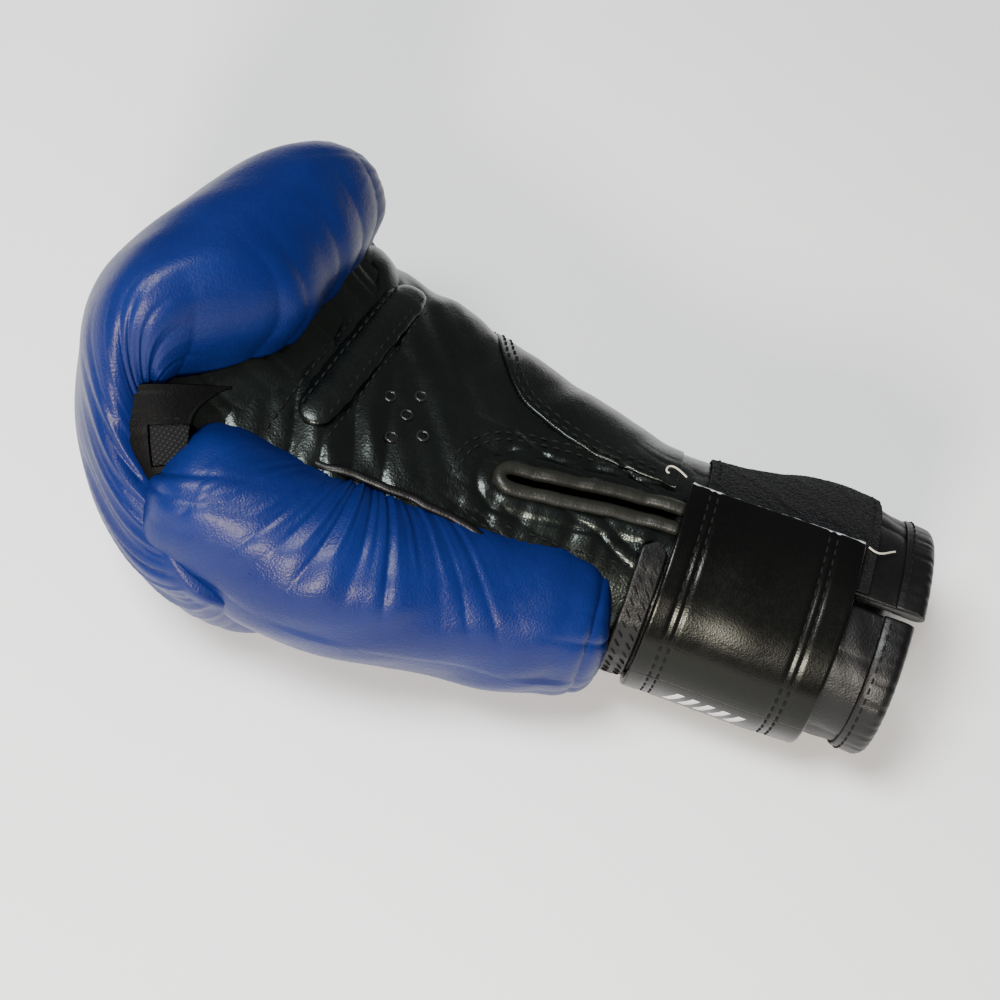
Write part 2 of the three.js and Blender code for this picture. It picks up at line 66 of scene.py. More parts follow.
class Body(Enum):
    """The bodies that a piece can ride on."""

    HAND = "hand"
    FINGERS = "fingers"
    THUMB = "thumb"
    FLAP = "flap"
    STRAP = "strap"
    STRAP_END = "strap_end"


# ------------------------------------------------------------------------------- numbers
def eased(t: np.ndarray | float, low: float = 0.0, high: float = 1.0) -> Any:
    """Smooth step: 3s^2 - 2s^3 of s, the share of the way from low to high.

    Args:
        t: the value or values.
        low: where the step starts.
        high: where it ends.

    Returns:
        0 before low, 1 after high.
    """
    s = np.clip((np.asarray(t, float) - low) / (high - low), 0.0, 1.0)
    return s * s * (3.0 - 2.0 * s)


def through(t: np.ndarray, knots: Sequence[float], values: Sequence[Any]) -> np.ndarray:
    """Cubic Hermite curve through the values at the knots, with finite-difference slopes.

    Args:
        t: where to read the curve.
        knots: rising parameters.
        values: a number or a row of numbers for each knot.

    Returns:
        The curve's values at t.
    """
    k, v = np.asarray(knots, float), np.asarray(values, float)
    flat = v.ndim == 1
    if flat:
        v = v[:, None]
    m = np.gradient(v, k, axis=0)
    t = np.clip(np.asarray(t, float), k[0], k[-1])
    i = np.clip(np.searchsorted(k, t, side="right") - 1, 0, len(k) - 2)
    h = (k[i + 1] - k[i])[..., None]
    s = (t - k[i])[..., None] / h
    out = ((2 * s**3 - 3 * s**2 + 1) * v[i] + (s**3 - 2 * s**2 + s) * h * m[i]
           + (3 * s**2 - 2 * s**3) * v[i + 1] + (s**3 - s**2) * h * m[i + 1])
    return out[..., 0] if flat else out


def running(points: np.ndarray) -> np.ndarray:
    """Running length along a row of points: the sum of the steps up to each one."""
    return np.concatenate([[0.0], np.cumsum(np.linalg.norm(np.diff(points, axis=0), axis=1))])


def chord(points: np.ndarray) -> np.ndarray:
    """Running length along a row of points, as a share of the whole."""
    d = running(points)
    return d / d[-1]


def spread(at: np.ndarray, d: np.ndarray, points: np.ndarray) -> np.ndarray:
    """Points read in a straight line between their neighbours at running lengths at, d being theirs."""
    return np.stack([np.interp(at, d, points[:, c]) for c in range(3)], -1)


def signed_power(v: np.ndarray, p: float | np.ndarray) -> np.ndarray:
    """|v| to the power p, with v's sign."""
    return np.sign(v) * np.abs(v) ** p


def ripple(s: np.ndarray, wavelength: float, seed: int) -> np.ndarray:
    """Uneven wave: four sines of near wavelengths with seeded phases, about -1 to 1.

    Args:
        s: distance along the wave, mm.
        wavelength: its usual length, mm.
        seed: picks the phases.

    Returns:
        The wave's height at s.
    """
    rng = np.random.default_rng(seed)
    out = np.zeros(np.shape(s))
    for share, weight in ((1.0, 0.5), (0.63, 0.28), (1.71, 0.34), (0.37, 0.12)):
        out = out + weight * np.sin(2 * np.pi * np.asarray(s) / (wavelength * share) + rng.uniform(0, 6.28))
    return out


def gathers(s: np.ndarray, wavelength: float, seed: int) -> np.ndarray:
    """Gathered leather: round swells between sharp valleys, |sin| of a wandering distance.

    Args:
        s: distance along the seam, mm.
        wavelength: usual distance between two valleys, mm.
        seed: picks the wander.

    Returns:
        Heights from about -0.7, the valleys, to 0.4, the swells.
    """
    wander = s + 0.42 * wavelength * ripple(s, wavelength * 2.9, seed)
    swell = np.abs(np.sin(np.pi * wander / wavelength)) ** 0.75
    uneven = 0.62 + 0.38 * ripple(s, wavelength * 2.3, seed + 1)
    return (swell - 0.7) * uneven


def normals_of(p: np.ndarray) -> np.ndarray:
    """Unit normals of a grid of points: the cross product of its two directions.

    Args:
        p: grid of points.

    Returns:
        One unit vector for each point.
    """
    n = np.cross(np.gradient(p, axis=0), np.gradient(p, axis=1))
    size = np.linalg.norm(n, axis=2, keepdims=True)
    return n / np.maximum(size, 1e-9)


# ------------------------------------------------------------------------------- meshes
def grid_faces(rows: int, columns: int, wrap: bool, first: int = 0) -> np.ndarray:
    """Quads of a grid of points, numbered row by row.

    Args:
        rows: points one way.
        columns: points the other way.
        wrap: whether the last column joins the first.
        first: number of the first point.

    Returns:
        One row of four point numbers for each quad.
    """
    i = np.arange(rows - 1)[:, None]
    j = np.arange(columns if wrap else columns - 1)[None, :]
    k = (j + 1) % columns
    quads = np.stack([i * columns + j, (i + 1) * columns + j, (i + 1) * columns + k, i * columns + k], -1)
    return quads.reshape(-1, 4) + first


def make_mesh(name: str, points: np.ndarray, faces: np.ndarray) -> bpy.types.Object:
    """Puts points in millimetres and their faces, shaded smooth, into a new object at the origin.

    Args:
        name: the piece's name.
        points: one row of x, y, z for each point.
        faces: one row of four point numbers for each face; a triangle repeats one of them.

    Returns:
        The new object.
    """
    place = points.reshape(-1, 3) / 1000.0 + ORIGIN
    mesh = bpy.data.meshes.new(name)
    mesh.from_pydata(place.tolist(), [], [tuple(dict.fromkeys(f)) for f in faces.tolist()])
    mesh.validate()
    mesh.update()
    mesh.polygons.foreach_set("use_smooth", np.full(len(mesh.polygons), True))
    piece = bpy.data.objects.new(name, mesh)
    bpy.context.scene.collection.objects.link(piece)
    return piece


def turned_out(points: np.ndarray, faces: np.ndarray) -> np.ndarray:
    """Faces of a closed shell, reversed if its volume comes out negative.

    Args:
        points: one row of x, y, z for each point.
        faces: one row of four point numbers for each face.

    Returns:
        The faces, in the order that points outwards.
    """
    a, b, c = (points[faces[:, k]] for k in (0, 1, 2))
    d = points[faces[:, 3]]
    volume = np.einsum("ij,ij->i", a, np.cross(b, c)).sum() + np.einsum("ij,ij->i", a, np.cross(c, d)).sum()
    return faces if volume > 0 else faces[:, ::-1]


def shell(name: str, loops: np.ndarray) -> bpy.types.Object:
    """Closed shell over a row of closed loops, each end drawn to its middle.

    Args:
        name: the piece's name.
        loops: loop, point of the loop, x y z.

    Returns:
        The new object, with its faces turned outwards.
    """
    first = loops[0].mean(0)[None, None].repeat(loops.shape[1], 1)
    last = loops[-1].mean(0)[None, None].repeat(loops.shape[1], 1)
    ends = [first, 0.5 * (first + loops[:1]), loops, 0.5 * (last + loops[-1:]), last]
    every = np.concatenate(ends, 0)
    faces = grid_faces(every.shape[0], every.shape[1], True)
    points = every.reshape(-1, 3)
    faces = turned_out(points, faces)
    # Each end's ring of equal points becomes one point.
    count = every.shape[1]
    merged = np.arange(len(points))
    merged[:count] = 0
    merged[-count:] = len(points) - count
    faces = merged[faces]
    used, packed = np.unique(faces, return_inverse=True)
    return make_mesh(name, points[used], packed.reshape(-1, 4))


def sheet(name: str, p: np.ndarray, thickness: float) -> bpy.types.Object:
    """Closed sheet of leather or cloth: a grid, and the same grid sunk by its thickness.

    Args:
        name: the piece's name.
        p: grid of points on the outer face.
        thickness: mm, laid on the inner side of the grid's normals.

    Returns:
        The new object.
    """
    inner = p - normals_of(p) * thickness
    edge = 0.5 * (p + inner)
    soft = 0.35 * thickness
    side_a, side_b = edge[:, :1], edge[:, -1:]
    out_a = p[:, :1] - p[:, 1:2]
    out_b = p[:, -1:] - p[:, -2:-1]
    side_a = side_a + out_a / np.maximum(np.linalg.norm(out_a, axis=2, keepdims=True), 1e-6) * soft
    side_b = side_b + out_b / np.maximum(np.linalg.norm(out_b, axis=2, keepdims=True), 1e-6) * soft
    loops = np.concatenate([p, side_b, inner[:, ::-1], side_a], 1)
    rows, columns = loops.shape[:2]
    points = loops.reshape(-1, 3)
    faces = grid_faces(rows, columns, True)
    half = p.shape[1]
    j = np.arange(half - 1)
    caps = []
    for r in (0, rows - 1):
        near, far = r * columns + j, r * columns + (2 * half - j)
        cap = np.stack([near, near + 1, far - 1, far], -1)
        caps.append(cap if r else cap[:, ::-1])
        a = r * columns
        end_b = np.array([[a + half - 1, a + half, a + half + 1, a + half + 1]])
        end_a = np.array([[a + 2 * half, a + 2 * half + 1, a, a]])
        for e in (end_a, end_b):
            caps.append(e if r else e[:, [2, 1, 0, 0]])
    faces = np.concatenate([faces, *caps], 0)
    return make_mesh(name, points, turned_out(points, faces))


def tube(name: str, path: np.ndarray, radius: Any, sides: int = 10, flat: float = 1.0) -> bpy.types.Object:
    """Round or flattened cord along a path: middle + side * r cos a + height * r flat sin a.

    Args:
        name: the piece's name.
        path: points of the middle line, mm.
        radius: mm, one number or one for each point.
        sides: points round the circle.
        flat: height as a share of width.

    Returns:
        The new object.
    """
    along = np.gradient(path, axis=0)
    along /= np.maximum(np.linalg.norm(along, axis=1, keepdims=True), 1e-9)
    side = np.cross(np.tile([0.0, 0.0, 1.0], (len(path), 1)), along)
    side /= np.maximum(np.linalg.norm(side, axis=1, keepdims=True), 1e-9)
    height = np.cross(along, side)
    a = np.linspace(0, 2 * np.pi, sides, endpoint=False)
    r = np.broadcast_to(np.asarray(radius, float), (len(path),))[:, None, None]
    loops = (path[:, None] + r * np.cos(a)[None, :, None] * side[:, None]
             + r * flat * np.sin(a)[None, :, None] * height[:, None])
    return shell(name, loops)


def evenly(path: np.ndarray, step: float) -> np.ndarray:
    """Points every step mm along a path, with the path's own ends.

    Args:
        path: points of the path.
        step: mm from one point to the next.

    Returns:
        The new points.
    """
    d = running(path)
    count = max(2, int(round(d[-1] / step)) + 1)
    return spread(np.linspace(0, d[-1], count), d, path)


# A stitch's spindle: share of its length, and thickness and lift as shares of the thread's radius.
SPINDLE = np.array([(0.0, 0.25, -0.5), (0.12, 0.8, 0.05), (0.35, 1.0, 0.35), (0.65, 1.0, 0.35),
                    (0.88, 0.8, 0.05), (1.0, 0.25, -0.5)])


def stitches(name: str, rows: Sequence[tuple[np.ndarray, np.ndarray]], length: float = 2.6,
             pitch: float = 3.8, radius: float = 0.42, slant: float = 0.0) -> bpy.types.Object:
    """Rows of sewn thread: one small spindle for each stitch, half sunk in the leather.

    Args:
        name: the piece's name.
        rows: for each row its path and the leather's normals along it.
        length: of one stitch, mm.
        pitch: from one stitch to the next, mm.
        radius: of the thread, mm.
        slant: how far a stitch leans across its row, mm.

    Returns:
        The new object.
    """
    loops, sides = [], 6
    for path, normal in rows:
        d = running(path)
        mids = np.arange(0.5 * pitch, d[-1] - 0.4 * pitch, pitch)
        if not len(mids):
            continue
        up = spread(mids, d, normal)
        up /= np.maximum(np.linalg.norm(up, axis=1, keepdims=True), 1e-9)
        a, b = spread(mids - length / 2, d, path), spread(mids + length / 2, d, path)
        along = (b - a) / np.maximum(np.linalg.norm(b - a, axis=1, keepdims=True), 1e-9)
        side = np.cross(up, along)
        a, b = a - side * slant / 2, b + side * slant / 2
        share, thick, lift = SPINDLE[:, 0], SPINDLE[:, 1] * radius, SPINDLE[:, 2] * radius
        ang = np.linspace(0, 2 * np.pi, sides, endpoint=False)
        mid = a[:, None] + (b - a)[:, None] * share[None, :, None] + up[:, None] * lift[None, :, None]
        ring = (np.cos(ang)[None, None, :, None] * side[:, None, None]
                + np.sin(ang)[None, None, :, None] * up[:, None, None])
        loops.append(mid[:, :, None] + ring * thick[None, :, None, None])
    every = np.concatenate(loops, 0)
    count, rings = every.shape[:2]
    one = grid_faces(rings, sides, True)
    caps = np.array([[0, 1, 2, 3], [0, 3, 4, 5]])
    one = np.concatenate([one[:, ::-1], caps, caps[:, ::-1] + (rings - 1) * sides], 0)
    faces = (one[None] + (np.arange(count) * rings * sides)[:, None, None]).reshape(-1, 4)
    points = every.reshape(-1, 3)
    return make_mesh(name, points, turned_out(points, faces))


# ------------------------------------------------------------------------------- shader maths
class Value:
    """A number inside a material, on which Python's operators add Math nodes."""

    def __init__(self, recipe: "Recipe", socket: bpy.types.NodeSocket) -> None:
        """Keeps the recipe and the output socket that carries the number."""
        self.recipe = recipe
        self.socket = socket

    def _with(self, operation: str, a: Any, b: Any = None) -> "Value":
        """Adds one Math node on a and b.

        Args:
            operation: the node's operation.
            a: first input.
            b: second input, if it has one.

        Returns:
            The node's result.
        """
        sockets = {0: a} if b is None else {0: a, 1: b}
        node = self.recipe.node("ShaderNodeMath", {"operation": operation}, sockets)
        return Value(self.recipe, node.outputs[0])

    def __add__(self, other: Any) -> "Value":
        """Sum."""
        return self._with("ADD", self, other)

    __radd__ = __add__

    def __sub__(self, other: Any) -> "Value":
        """Difference."""
        return self._with("SUBTRACT", self, other)

    def __rsub__(self, other: Any) -> "Value":
        """Difference from a plain number."""
        return self._with("SUBTRACT", other, self)

    def __mul__(self, other: Any) -> "Value":
        """Product."""
        return self._with("MULTIPLY", self, other)

    def sine(self) -> "Value":
        """Sine of an angle in radians."""
        return self._with("SINE", self)

    def stepped(self, low: float, high: float) -> "Value":
        """Smooth step from 0 at low to 1 at high."""
        node = self.recipe.node("ShaderNodeMapRange", {"interpolation_type": "SMOOTHSTEP"},
                                {0: self, 1: low, 2: high, 3: 0.0, 4: 1.0})
        return Value(self.recipe, node.outputs[0])


class Recipe:
    """Builds one procedural material on Object coordinates."""

    def __init__(self, name: str) -> None:
        """Starts an empty material with its Principled shader.

        Args:
            name: the material's name.
        """
        self.material = bpy.data.materials.new(name)
        self.material.use_nodes = True
        self.tree = self.material.node_tree
        self.tree.nodes.clear()
        self.shader = self.node("ShaderNodeBsdfPrincipled")
        out = self.node("ShaderNodeOutputMaterial")
        self.tree.links.new(self.shader.outputs[0], out.inputs["Surface"])
        self.place = self.node("ShaderNodeTexCoord").outputs["Object"]

    def node(self, kind: str, settings: dict[str, Any] | None = None,
             sockets: dict[Any, Any] | None = None) -> bpy.types.Node:
        """Adds a node.

        Args:
            kind: the node's type.
            settings: its own settings, set first.
            sockets: a value, socket or Value for each input, by name or number.

        Returns:
            The node.
        """
        made = self.tree.nodes.new(kind)
        for key, value in (settings or {}).items():
            setattr(made, key, value)
        for key, value in (sockets or {}).items():
            self.put(made.inputs[key], value)
        return made

    def put(self, socket: bpy.types.NodeSocket, value: Any) -> None:
        """Links a Value or socket to an input, or sets a plain value on it.

        Args:
            socket: the input.
            value: a Value, a socket or a plain value.
        """
        if isinstance(value, Value):
            self.tree.links.new(value.socket, socket)
        elif isinstance(value, bpy.types.NodeSocket):
            self.tree.links.new(value, socket)
        else:
            socket.default_value = value

    def noise(self, size: float, detail: float = 3.0, roughness: float = 0.5,
              stretch: tuple[float, float, float] = (1.0, 1.0, 1.0)) -> Value:
        """Noise whose features are about size mm across, each axis stretched.

        Args:
            size: mm.
            detail: octaves.
            roughness: weight of the finer octaves.
            stretch: factor on each axis.

        Returns:
            The noise, about 0 to 1.
        """
        at = self.node("ShaderNodeMapping", {}, {"Vector": self.place, "Scale": stretch}).outputs[0]
        made = self.node("ShaderNodeTexNoise", {}, {"Vector": at, "Scale": 1000.0 / size, "Detail": detail,
                                                     "Roughness": roughness})
        return Value(self, made.outputs[0])

    def cells(self, size: float) -> Value:
        """Distance to the nearest of scattered points about size mm apart."""
        made = self.node("ShaderNodeTexVoronoi", {"feature": "F1"},
                         {"Vector": self.place, "Scale": 1000.0 / size, "Randomness": 1.0})
        return Value(self, made.outputs[0])

    def blend(self, share: Any, a: Sequence[float], b: Any) -> bpy.types.NodeSocket:
        """Mixes two colours by a share from 0 to 1.

        Args:
            share: 0 for the first colour, 1 for the second.
            a: first colour.
            b: second colour, or a socket that carries one.

        Returns:
            The mixed colour's socket.
        """
        made = self.node("ShaderNodeMix", {"data_type": "RGBA"})
        self.put(made.inputs[0], share)
        for slot, colour in ((6, a), (7, b)):
            linked = isinstance(colour, bpy.types.NodeSocket)
            self.put(made.inputs[slot], colour if linked else (*colour, 1.0))
        return made.outputs[2]

    def bump(self, heights: Sequence[tuple[Value, float]]) -> None:
        """Stacks bump maps on the shader's normal.

        Args:
            heights: pairs of a height pattern and its depth in mm.
        """
        below = None
        for height, depth in heights:
            made = self.node("ShaderNodeBump", {},
                             {"Height": height, "Distance": depth / 1000.0, "Strength": 1.0})
            if below is not None:
                self.put(made.inputs["Normal"], below)
            below = made.outputs[0]
        if below is not None:
            self.put(self.shader.inputs["Normal"], below)

    def set(self, **values: Any) -> None:
        """Sets the shader's inputs; an underscore in a name stands for a space."""
        for key, value in values.items():
            self.put(self.shader.inputs[key.replace("_", " ")], value)


@dataclass(frozen=True)
class Leather:
    """Coated leather: pebbled grain, fine creases, mottled colour and uneven gloss."""

    name: str
    colour: tuple[float, float, float]
    worn: tuple[float, float, float]
    roughness: float = 0.36
    grain_mm: float = 0.75
    grain_deep: float = 0.05
    crease_mm: float = 5.0
    crease_deep: float = 0.16
    coat: float = 0.15
    coat_roughness: float = 0.3
    tint: tuple[float, float, float] = (1.0, 1.0, 1.0)
    shine: float = 0.24

    def make(self) -> bpy.types.Material:
        """Builds the material.

        Returns:
            The material.
        """
        r = Recipe(self.name)
        cell = r.cells(self.grain_mm)
        pebble = cell.stepped(0.05, 0.75)
        broad = r.noise(26.0, 2.0)
        fine = r.noise(2.2, 4.0, 0.6)
        crease = r.noise(self.crease_mm, 3.0, 0.55, (1.0, 0.6, 1.0))
        ridge = (crease - 0.5) * (crease - 0.5) * 4.0
        line = 1.0 - ridge.stepped(0.0, 0.05)
        share = broad.stepped(0.35, 0.75) * 0.55 + fine.stepped(0.5, 0.8) * 0.2 + pebble * 0.12
        r.set(Base_Color=r.blend(share, self.colour, self.worn),
              Roughness=self.roughness + (broad - 0.5) * 0.18 + (fine - 0.5) * 0.14 + pebble * 0.05,
              Coat_Weight=self.coat, Coat_Roughness=self.coat_roughness, Specular_IOR_Level=self.shine,
              Specular_Tint=(*self.tint, 1.0))
        r.bump([(crease, self.crease_deep), (line * -1.0, self.crease_deep * 0.22),
                (fine, self.grain_deep * 1.2), (pebble * -1.0, self.grain_deep)])
        return r.material


@dataclass(frozen=True)
class Pile:
    """Fuzzy loop fabric: tangled short loops that catch a little light."""

    name: str
    colour: tuple[float, float, float]
    tip: tuple[float, float, float]
    loop_mm: float = 0.9

    def make(self) -> bpy.types.Material:
        """Builds the material.

        Returns:
            The material.
        """
        r = Recipe(self.name)
        tuft = r.cells(self.loop_mm)
        hair = r.noise(0.45, 3.0, 0.7)
        patch = r.noise(7.0, 2.0)
        lit = (1.0 - tuft).stepped(0.62, 0.95) * hair.stepped(0.52, 0.72) * (0.5 + patch)
        r.set(Base_Color=r.blend(lit, self.colour, self.tip), Roughness=0.95, Specular_IOR_Level=0.12,
              Sheen_Weight=0.05, Sheen_Roughness=0.5)
        r.bump([(tuft * -1.0, 0.5), (hair, 0.35)])
        return r.material


@dataclass(frozen=True)
class Woven:
    """Plain woven cloth or netting: two crossed sets of threads."""

    name: str
    colour: tuple[float, float, float]
    high: tuple[float, float, float]
    thread_mm: float = 0.8
    deep: float = 0.25
    roughness: float = 0.85

    def make(self) -> bpy.types.Material:
        """Builds the material.

        Returns:
            The material.
        """
        r = Recipe(self.name)
        axes = r.node("ShaderNodeSeparateXYZ", {}, {0: r.place})
        x, y, z = (Value(r, axes.outputs[k]) for k in range(3))
        turns = 2.0 * math.pi * 1000.0 / self.thread_mm
        warp = ((x + z * 0.6) * turns).sine()
        weft = ((y - z * 0.6) * turns).sine()
        weave = (warp + 1.0) * (weft + 1.0) * 0.25
        fluff = r.noise(3.0, 4.0, 0.6)
        r.set(Base_Color=r.blend(weave * (0.4 + fluff), self.colour, self.high),
              Roughness=self.roughness + (fluff - 0.5) * 0.1, Specular_IOR_Level=0.15, Sheen_Weight=0.02)
        r.bump([(weave, self.deep), (fluff, self.deep * 0.5)])
        return r.material


@dataclass(frozen=True)
class Thread:
    """Twisted sewing thread, or printed ink when it has no twist."""

    name: str
    colour: tuple[float, float, float]
    other: tuple[float, float, float]
    twist_mm: float = 0.5
    roughness: float = 0.6

    def make(self) -> bpy.types.Material:
        """Builds the material.

        Returns:
            The material.
        """
        r = Recipe(self.name)
        fibre = r.noise(self.twist_mm, 3.0, 0.6)
        patch = r.noise(5.0, 2.0)
        r.set(Base_Color=r.blend(fibre * 0.5 + patch * 0.5, self.colour, self.other),
              Roughness=self.roughness + (patch - 0.5) * 0.15, Specular_IOR_Level=0.12)
        r.bump([(fibre, 0.05)])
        return r.material


class Finishes:
    """All the glove's materials, made once."""

    def __init__(self) -> None:
        """Makes every finish."""
        self.blue = Leather(
            "blue_leather", (0.0015, 0.0076, 0.070), (0.0030, 0.0135, 0.100), roughness=0.35, grain_mm=0.8,
            grain_deep=0.045, crease_mm=6.0, crease_deep=0.09, coat=0.03, tint=(1.0, 0.88, 0.76),
            shine=0.22).make()
        self.palm = Leather(
            "palm_leather", (0.0012, 0.0015, 0.0014), (0.0030, 0.0040, 0.0037), roughness=0.25, grain_mm=0.9,
            grain_deep=0.035, crease_mm=7.0, crease_deep=0.12, coat=0.06, coat_roughness=0.2,
            tint=(0.86, 1.0, 0.90), shine=0.36).make()
        self.strap = Leather(
            "strap_leather", (0.0012, 0.0012, 0.0013), (0.0020, 0.0023, 0.0021), roughness=0.22, grain_mm=0.7,
            grain_deep=0.016, crease_mm=12.0, crease_deep=0.02, coat=0.03, coat_roughness=0.15,
            tint=(0.94, 0.97, 0.86), shine=0.19).make()
        self.trim = Leather(
            "trim_leather", (0.0014, 0.0014, 0.0015), (0.0042, 0.0042, 0.0043), roughness=0.40, grain_mm=0.7,
            grain_deep=0.04, crease_mm=4.0, crease_deep=0.10, coat=0.06).make()
        self.tab = Leather(
            "tab_leather", (0.0006, 0.0006, 0.0007), (0.0016, 0.0016, 0.0017), roughness=0.45, grain_mm=0.7,
            grain_deep=0.03, crease_mm=5.0, crease_deep=0.06, coat=0.0, coat_roughness=0.4, shine=0.06).make()
        self.olive = Leather(
            "slit_binding_leather", (0.0085, 0.0088, 0.0068), (0.020, 0.0205, 0.0165), roughness=0.38,
            grain_mm=0.6, grain_deep=0.04, crease_mm=3.0, crease_deep=0.12, coat=0.1,
            coat_roughness=0.25).make()
        self.pile = Pile("loop_pile", (0.0030, 0.0030, 0.0034), (0.045, 0.047, 0.052)).make()
        self.hooks = Pile("hook_pile", (0.006, 0.006, 0.0065), (0.03, 0.03, 0.032), loop_mm=1.4).make()
        self.net = Woven("airing_net", (0.0018, 0.0018, 0.0021), (0.022, 0.023, 0.026), thread_mm=1.5,
                         deep=0.5, roughness=0.75).make()
        self.lining = Woven("lining_cloth", (0.010, 0.010, 0.011), (0.024, 0.024, 0.026), thread_mm=0.9,
                            deep=0.2).make()
        self.black_thread = Thread("black_thread", (0.003, 0.003, 0.0032), (0.009, 0.009, 0.0095),
                                   roughness=0.8).make()
        self.pale_thread = Thread("pale_thread", (0.36, 0.33, 0.27), (0.62, 0.58, 0.50)).make()
        self.raw_edge = Thread("raw_edge", (0.20, 0.21, 0.22), (0.40, 0.41, 0.42), twist_mm=0.7,
                               roughness=0.75).make()
        self.ink = Thread("pale_ink", (0.42, 0.42, 0.42), (0.60, 0.60, 0.60), twist_mm=0.9,
                          roughness=0.5).make()
        self.eyelet = Leather(
            "eyelet_enamel", (0.006, 0.006, 0.006), (0.012, 0.012, 0.012), roughness=0.25, grain_mm=1.2,
            grain_deep=0.02, crease_mm=6.0, crease_deep=0.04, coat=0.3, coat_roughness=0.2).make()


def dress(piece: bpy.types.Object, finish: bpy.types.Material, body: Body,
          replaces: Sequence[str] = ()) -> bpy.types.Object:
    """Gives a piece its finish and body, and hides the frame nodes that it stands for.

    Args:
        piece: the piece.
        finish: its material.
        body: the body that it rides on.
        replaces: frame nodes that it stands for.

    Returns:
        The piece.
    """
    piece.data.materials.clear()
    piece.data.materials.append(finish)
    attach(piece, body.value)
    if replaces:
        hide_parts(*replaces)
    LOG.info("%s rides on %s", piece.name, body.value)
    return piece


def dress_bending(piece: bpy.types.Object, finish: bpy.types.Material, bodies: tuple[Body, Body],
                  start: Sequence[float], end: Sequence[float], slot: str = "",
                  replaces: Sequence[str] = ()) -> bpy.types.Object:
    """Gives a piece its finish, bakes its placing into its mesh and hides the frame nodes that it stands for.

    Args:
        piece: the piece.
        finish: its material.
        bodies: the body before start, and the body after end.
        start: glove mm; not used.
        end: glove mm; not used.
        slot: the record's material slot, or nothing; not used.
        replaces: frame nodes that it stands for.

    Returns:
        The piece.
    """
    piece.data.materials.clear()
    piece.data.materials.append(finish)
    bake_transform(piece)
    if replaces:
        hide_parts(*replaces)
    LOG.info("%s bends from %s to %s", piece.name, bodies[0].value, bodies[1].value)
    return piece


# Two places, from the hand to the fingers, glove mm, given to dress_bending as its start and end.
KNUCKLES = ((203.0, 3.0, 0.0), (226.0, -3.2, 9.0))


# ------------------------------------------------------------------------------- hand and fist
def fall_back(x: np.ndarray, y: np.ndarray) -> np.ndarray:
    """The knuckle line falls back on both sides of its foremost point at y = 12.

    Args:
        x: mm from the cuff's end.
        y: mm across, towards the thumb.

    Returns:
        The x to use in place of x.
    """
    near = -0.0064 * np.clip(y - 12, 0, None) ** 2
    far = -0.45 * (np.hypot(np.clip(12 - y, 0, None), 12) - 12)
    return x + eased((x - 150) / 135) * (near + far)


def sway(x: np.ndarray) -> np.ndarray:
    """The hand drifts 3 mm to the little finger on its way to the fist."""
    return -3.0 * eased((x - 70) / 160)


@dataclass
class Cushion:
    """One padded half of the hand: a pillow profile carried round a core line.

    Each row holds the outline x z, the core x z, half widths to the little finger and to the thumb,
    the lead on the thumb side, the corner roundness and the core's own lead on the thumb side.
    """

    rows: list[tuple[float, ...]]
    across: int = 150
    along: int = 230

    def surface(self) -> tuple[np.ndarray, np.ndarray, np.ndarray]:
        """Works the pillow out.

        A point is core + (outline - core) * cos^(2/r) along the profile and half width * sin^(2/r)
        across it, for an angle from -90 to 90 degrees.

        Returns:
            Grid of points, distance along the profile in mm, and the angle in degrees.
        """
        table = np.array(self.rows, float)
        knots = chord(table[:, :2])
        length = float(np.linalg.norm(np.diff(table[:, :2], axis=0), axis=1).sum())
        u = np.linspace(0, 1, self.along)
        xo, zo, xs, zs, little, index, lead, rnd, core_lead = (c[:, None] for c in through(u, knots, table).T)
        t = np.linspace(-90, 90, self.across)
        even = 90 * signed_power(t / 90, 1.25)[None, :]
        side = signed_power(np.sin(np.radians(even)), 2 / rnd)
        out = np.abs(np.cos(np.radians(even))) ** (2 / rnd)
        y = np.where(side > 0, index, little) * side
        x = xs + (xo - xs) * out + eased(y / 40) * (lead * out + core_lead * (1 - out))
        z = zs + (zo - zs) * out
        p = np.stack([fall_back(x, y), y + sway(x), z], -1)
        return p, np.repeat(u[:, None] * length, self.across, 1), np.repeat(even, self.along, 0)

    def closed(self, name: str, p: np.ndarray) -> bpy.types.Object:
        """Closes a surface with a plain inner sheet between its two side edges.

        Args:
            name: the piece's name.
            p: the outer surface.

        Returns:
            The closed piece.
        """
        share = np.linspace(0, 1, 14)[None, 1:-1, None]
        inner = p[:, -1:] + (p[:, :1] - p[:, -1:]) * share
        return shell(name, np.concatenate([p, inner], 1))


# Cover, from the cuff over the knuckles to the roll's lower edge; columns as in Cushion.
COVER_ROWS = [
    (76, 6, 76, 38, 38, 38, 0, 2.0, 0), (88, 5.5, 88, 38, 38, 38, 0, 2.0, 0),
    (115, 2.5, 115, 38, 44, 42, 0, 2.3, 0), (150, 0.8, 150, 38, 53, 50, 0, 2.8, 0),
    (185, 0.6, 182, 40, 62, 61, 0, 3.2, 0), (215, 1.2, 208, 43, 69, 71, 0, 3.2, 0),
    (244, 10, 224, 48, 73, 78, 0, 3.2, 2), (267, 26, 236, 53, 75, 80, 0, 3.2, 6),
    (280, 50, 240, 60, 74, 75, 0, 3.2, 11), (283, 76, 241, 67, 73, 63, -2, 3.2, 13),
    (277, 101, 240, 72, 73, 51, 3, 3.3, 15), (262, 120, 238, 77, 71, 43, 11, 3.2, 18),
    (243, 125, 236, 79, 68, 39, 22, 3.0, 20), (226, 117, 234, 80, 64, 37, 31, 2.8, 22),
    (216, 101, 231, 81, 61, 37, 36, 2.7, 24), (218, 86, 227, 81, 58, 38, 34, 2.7, 26)]
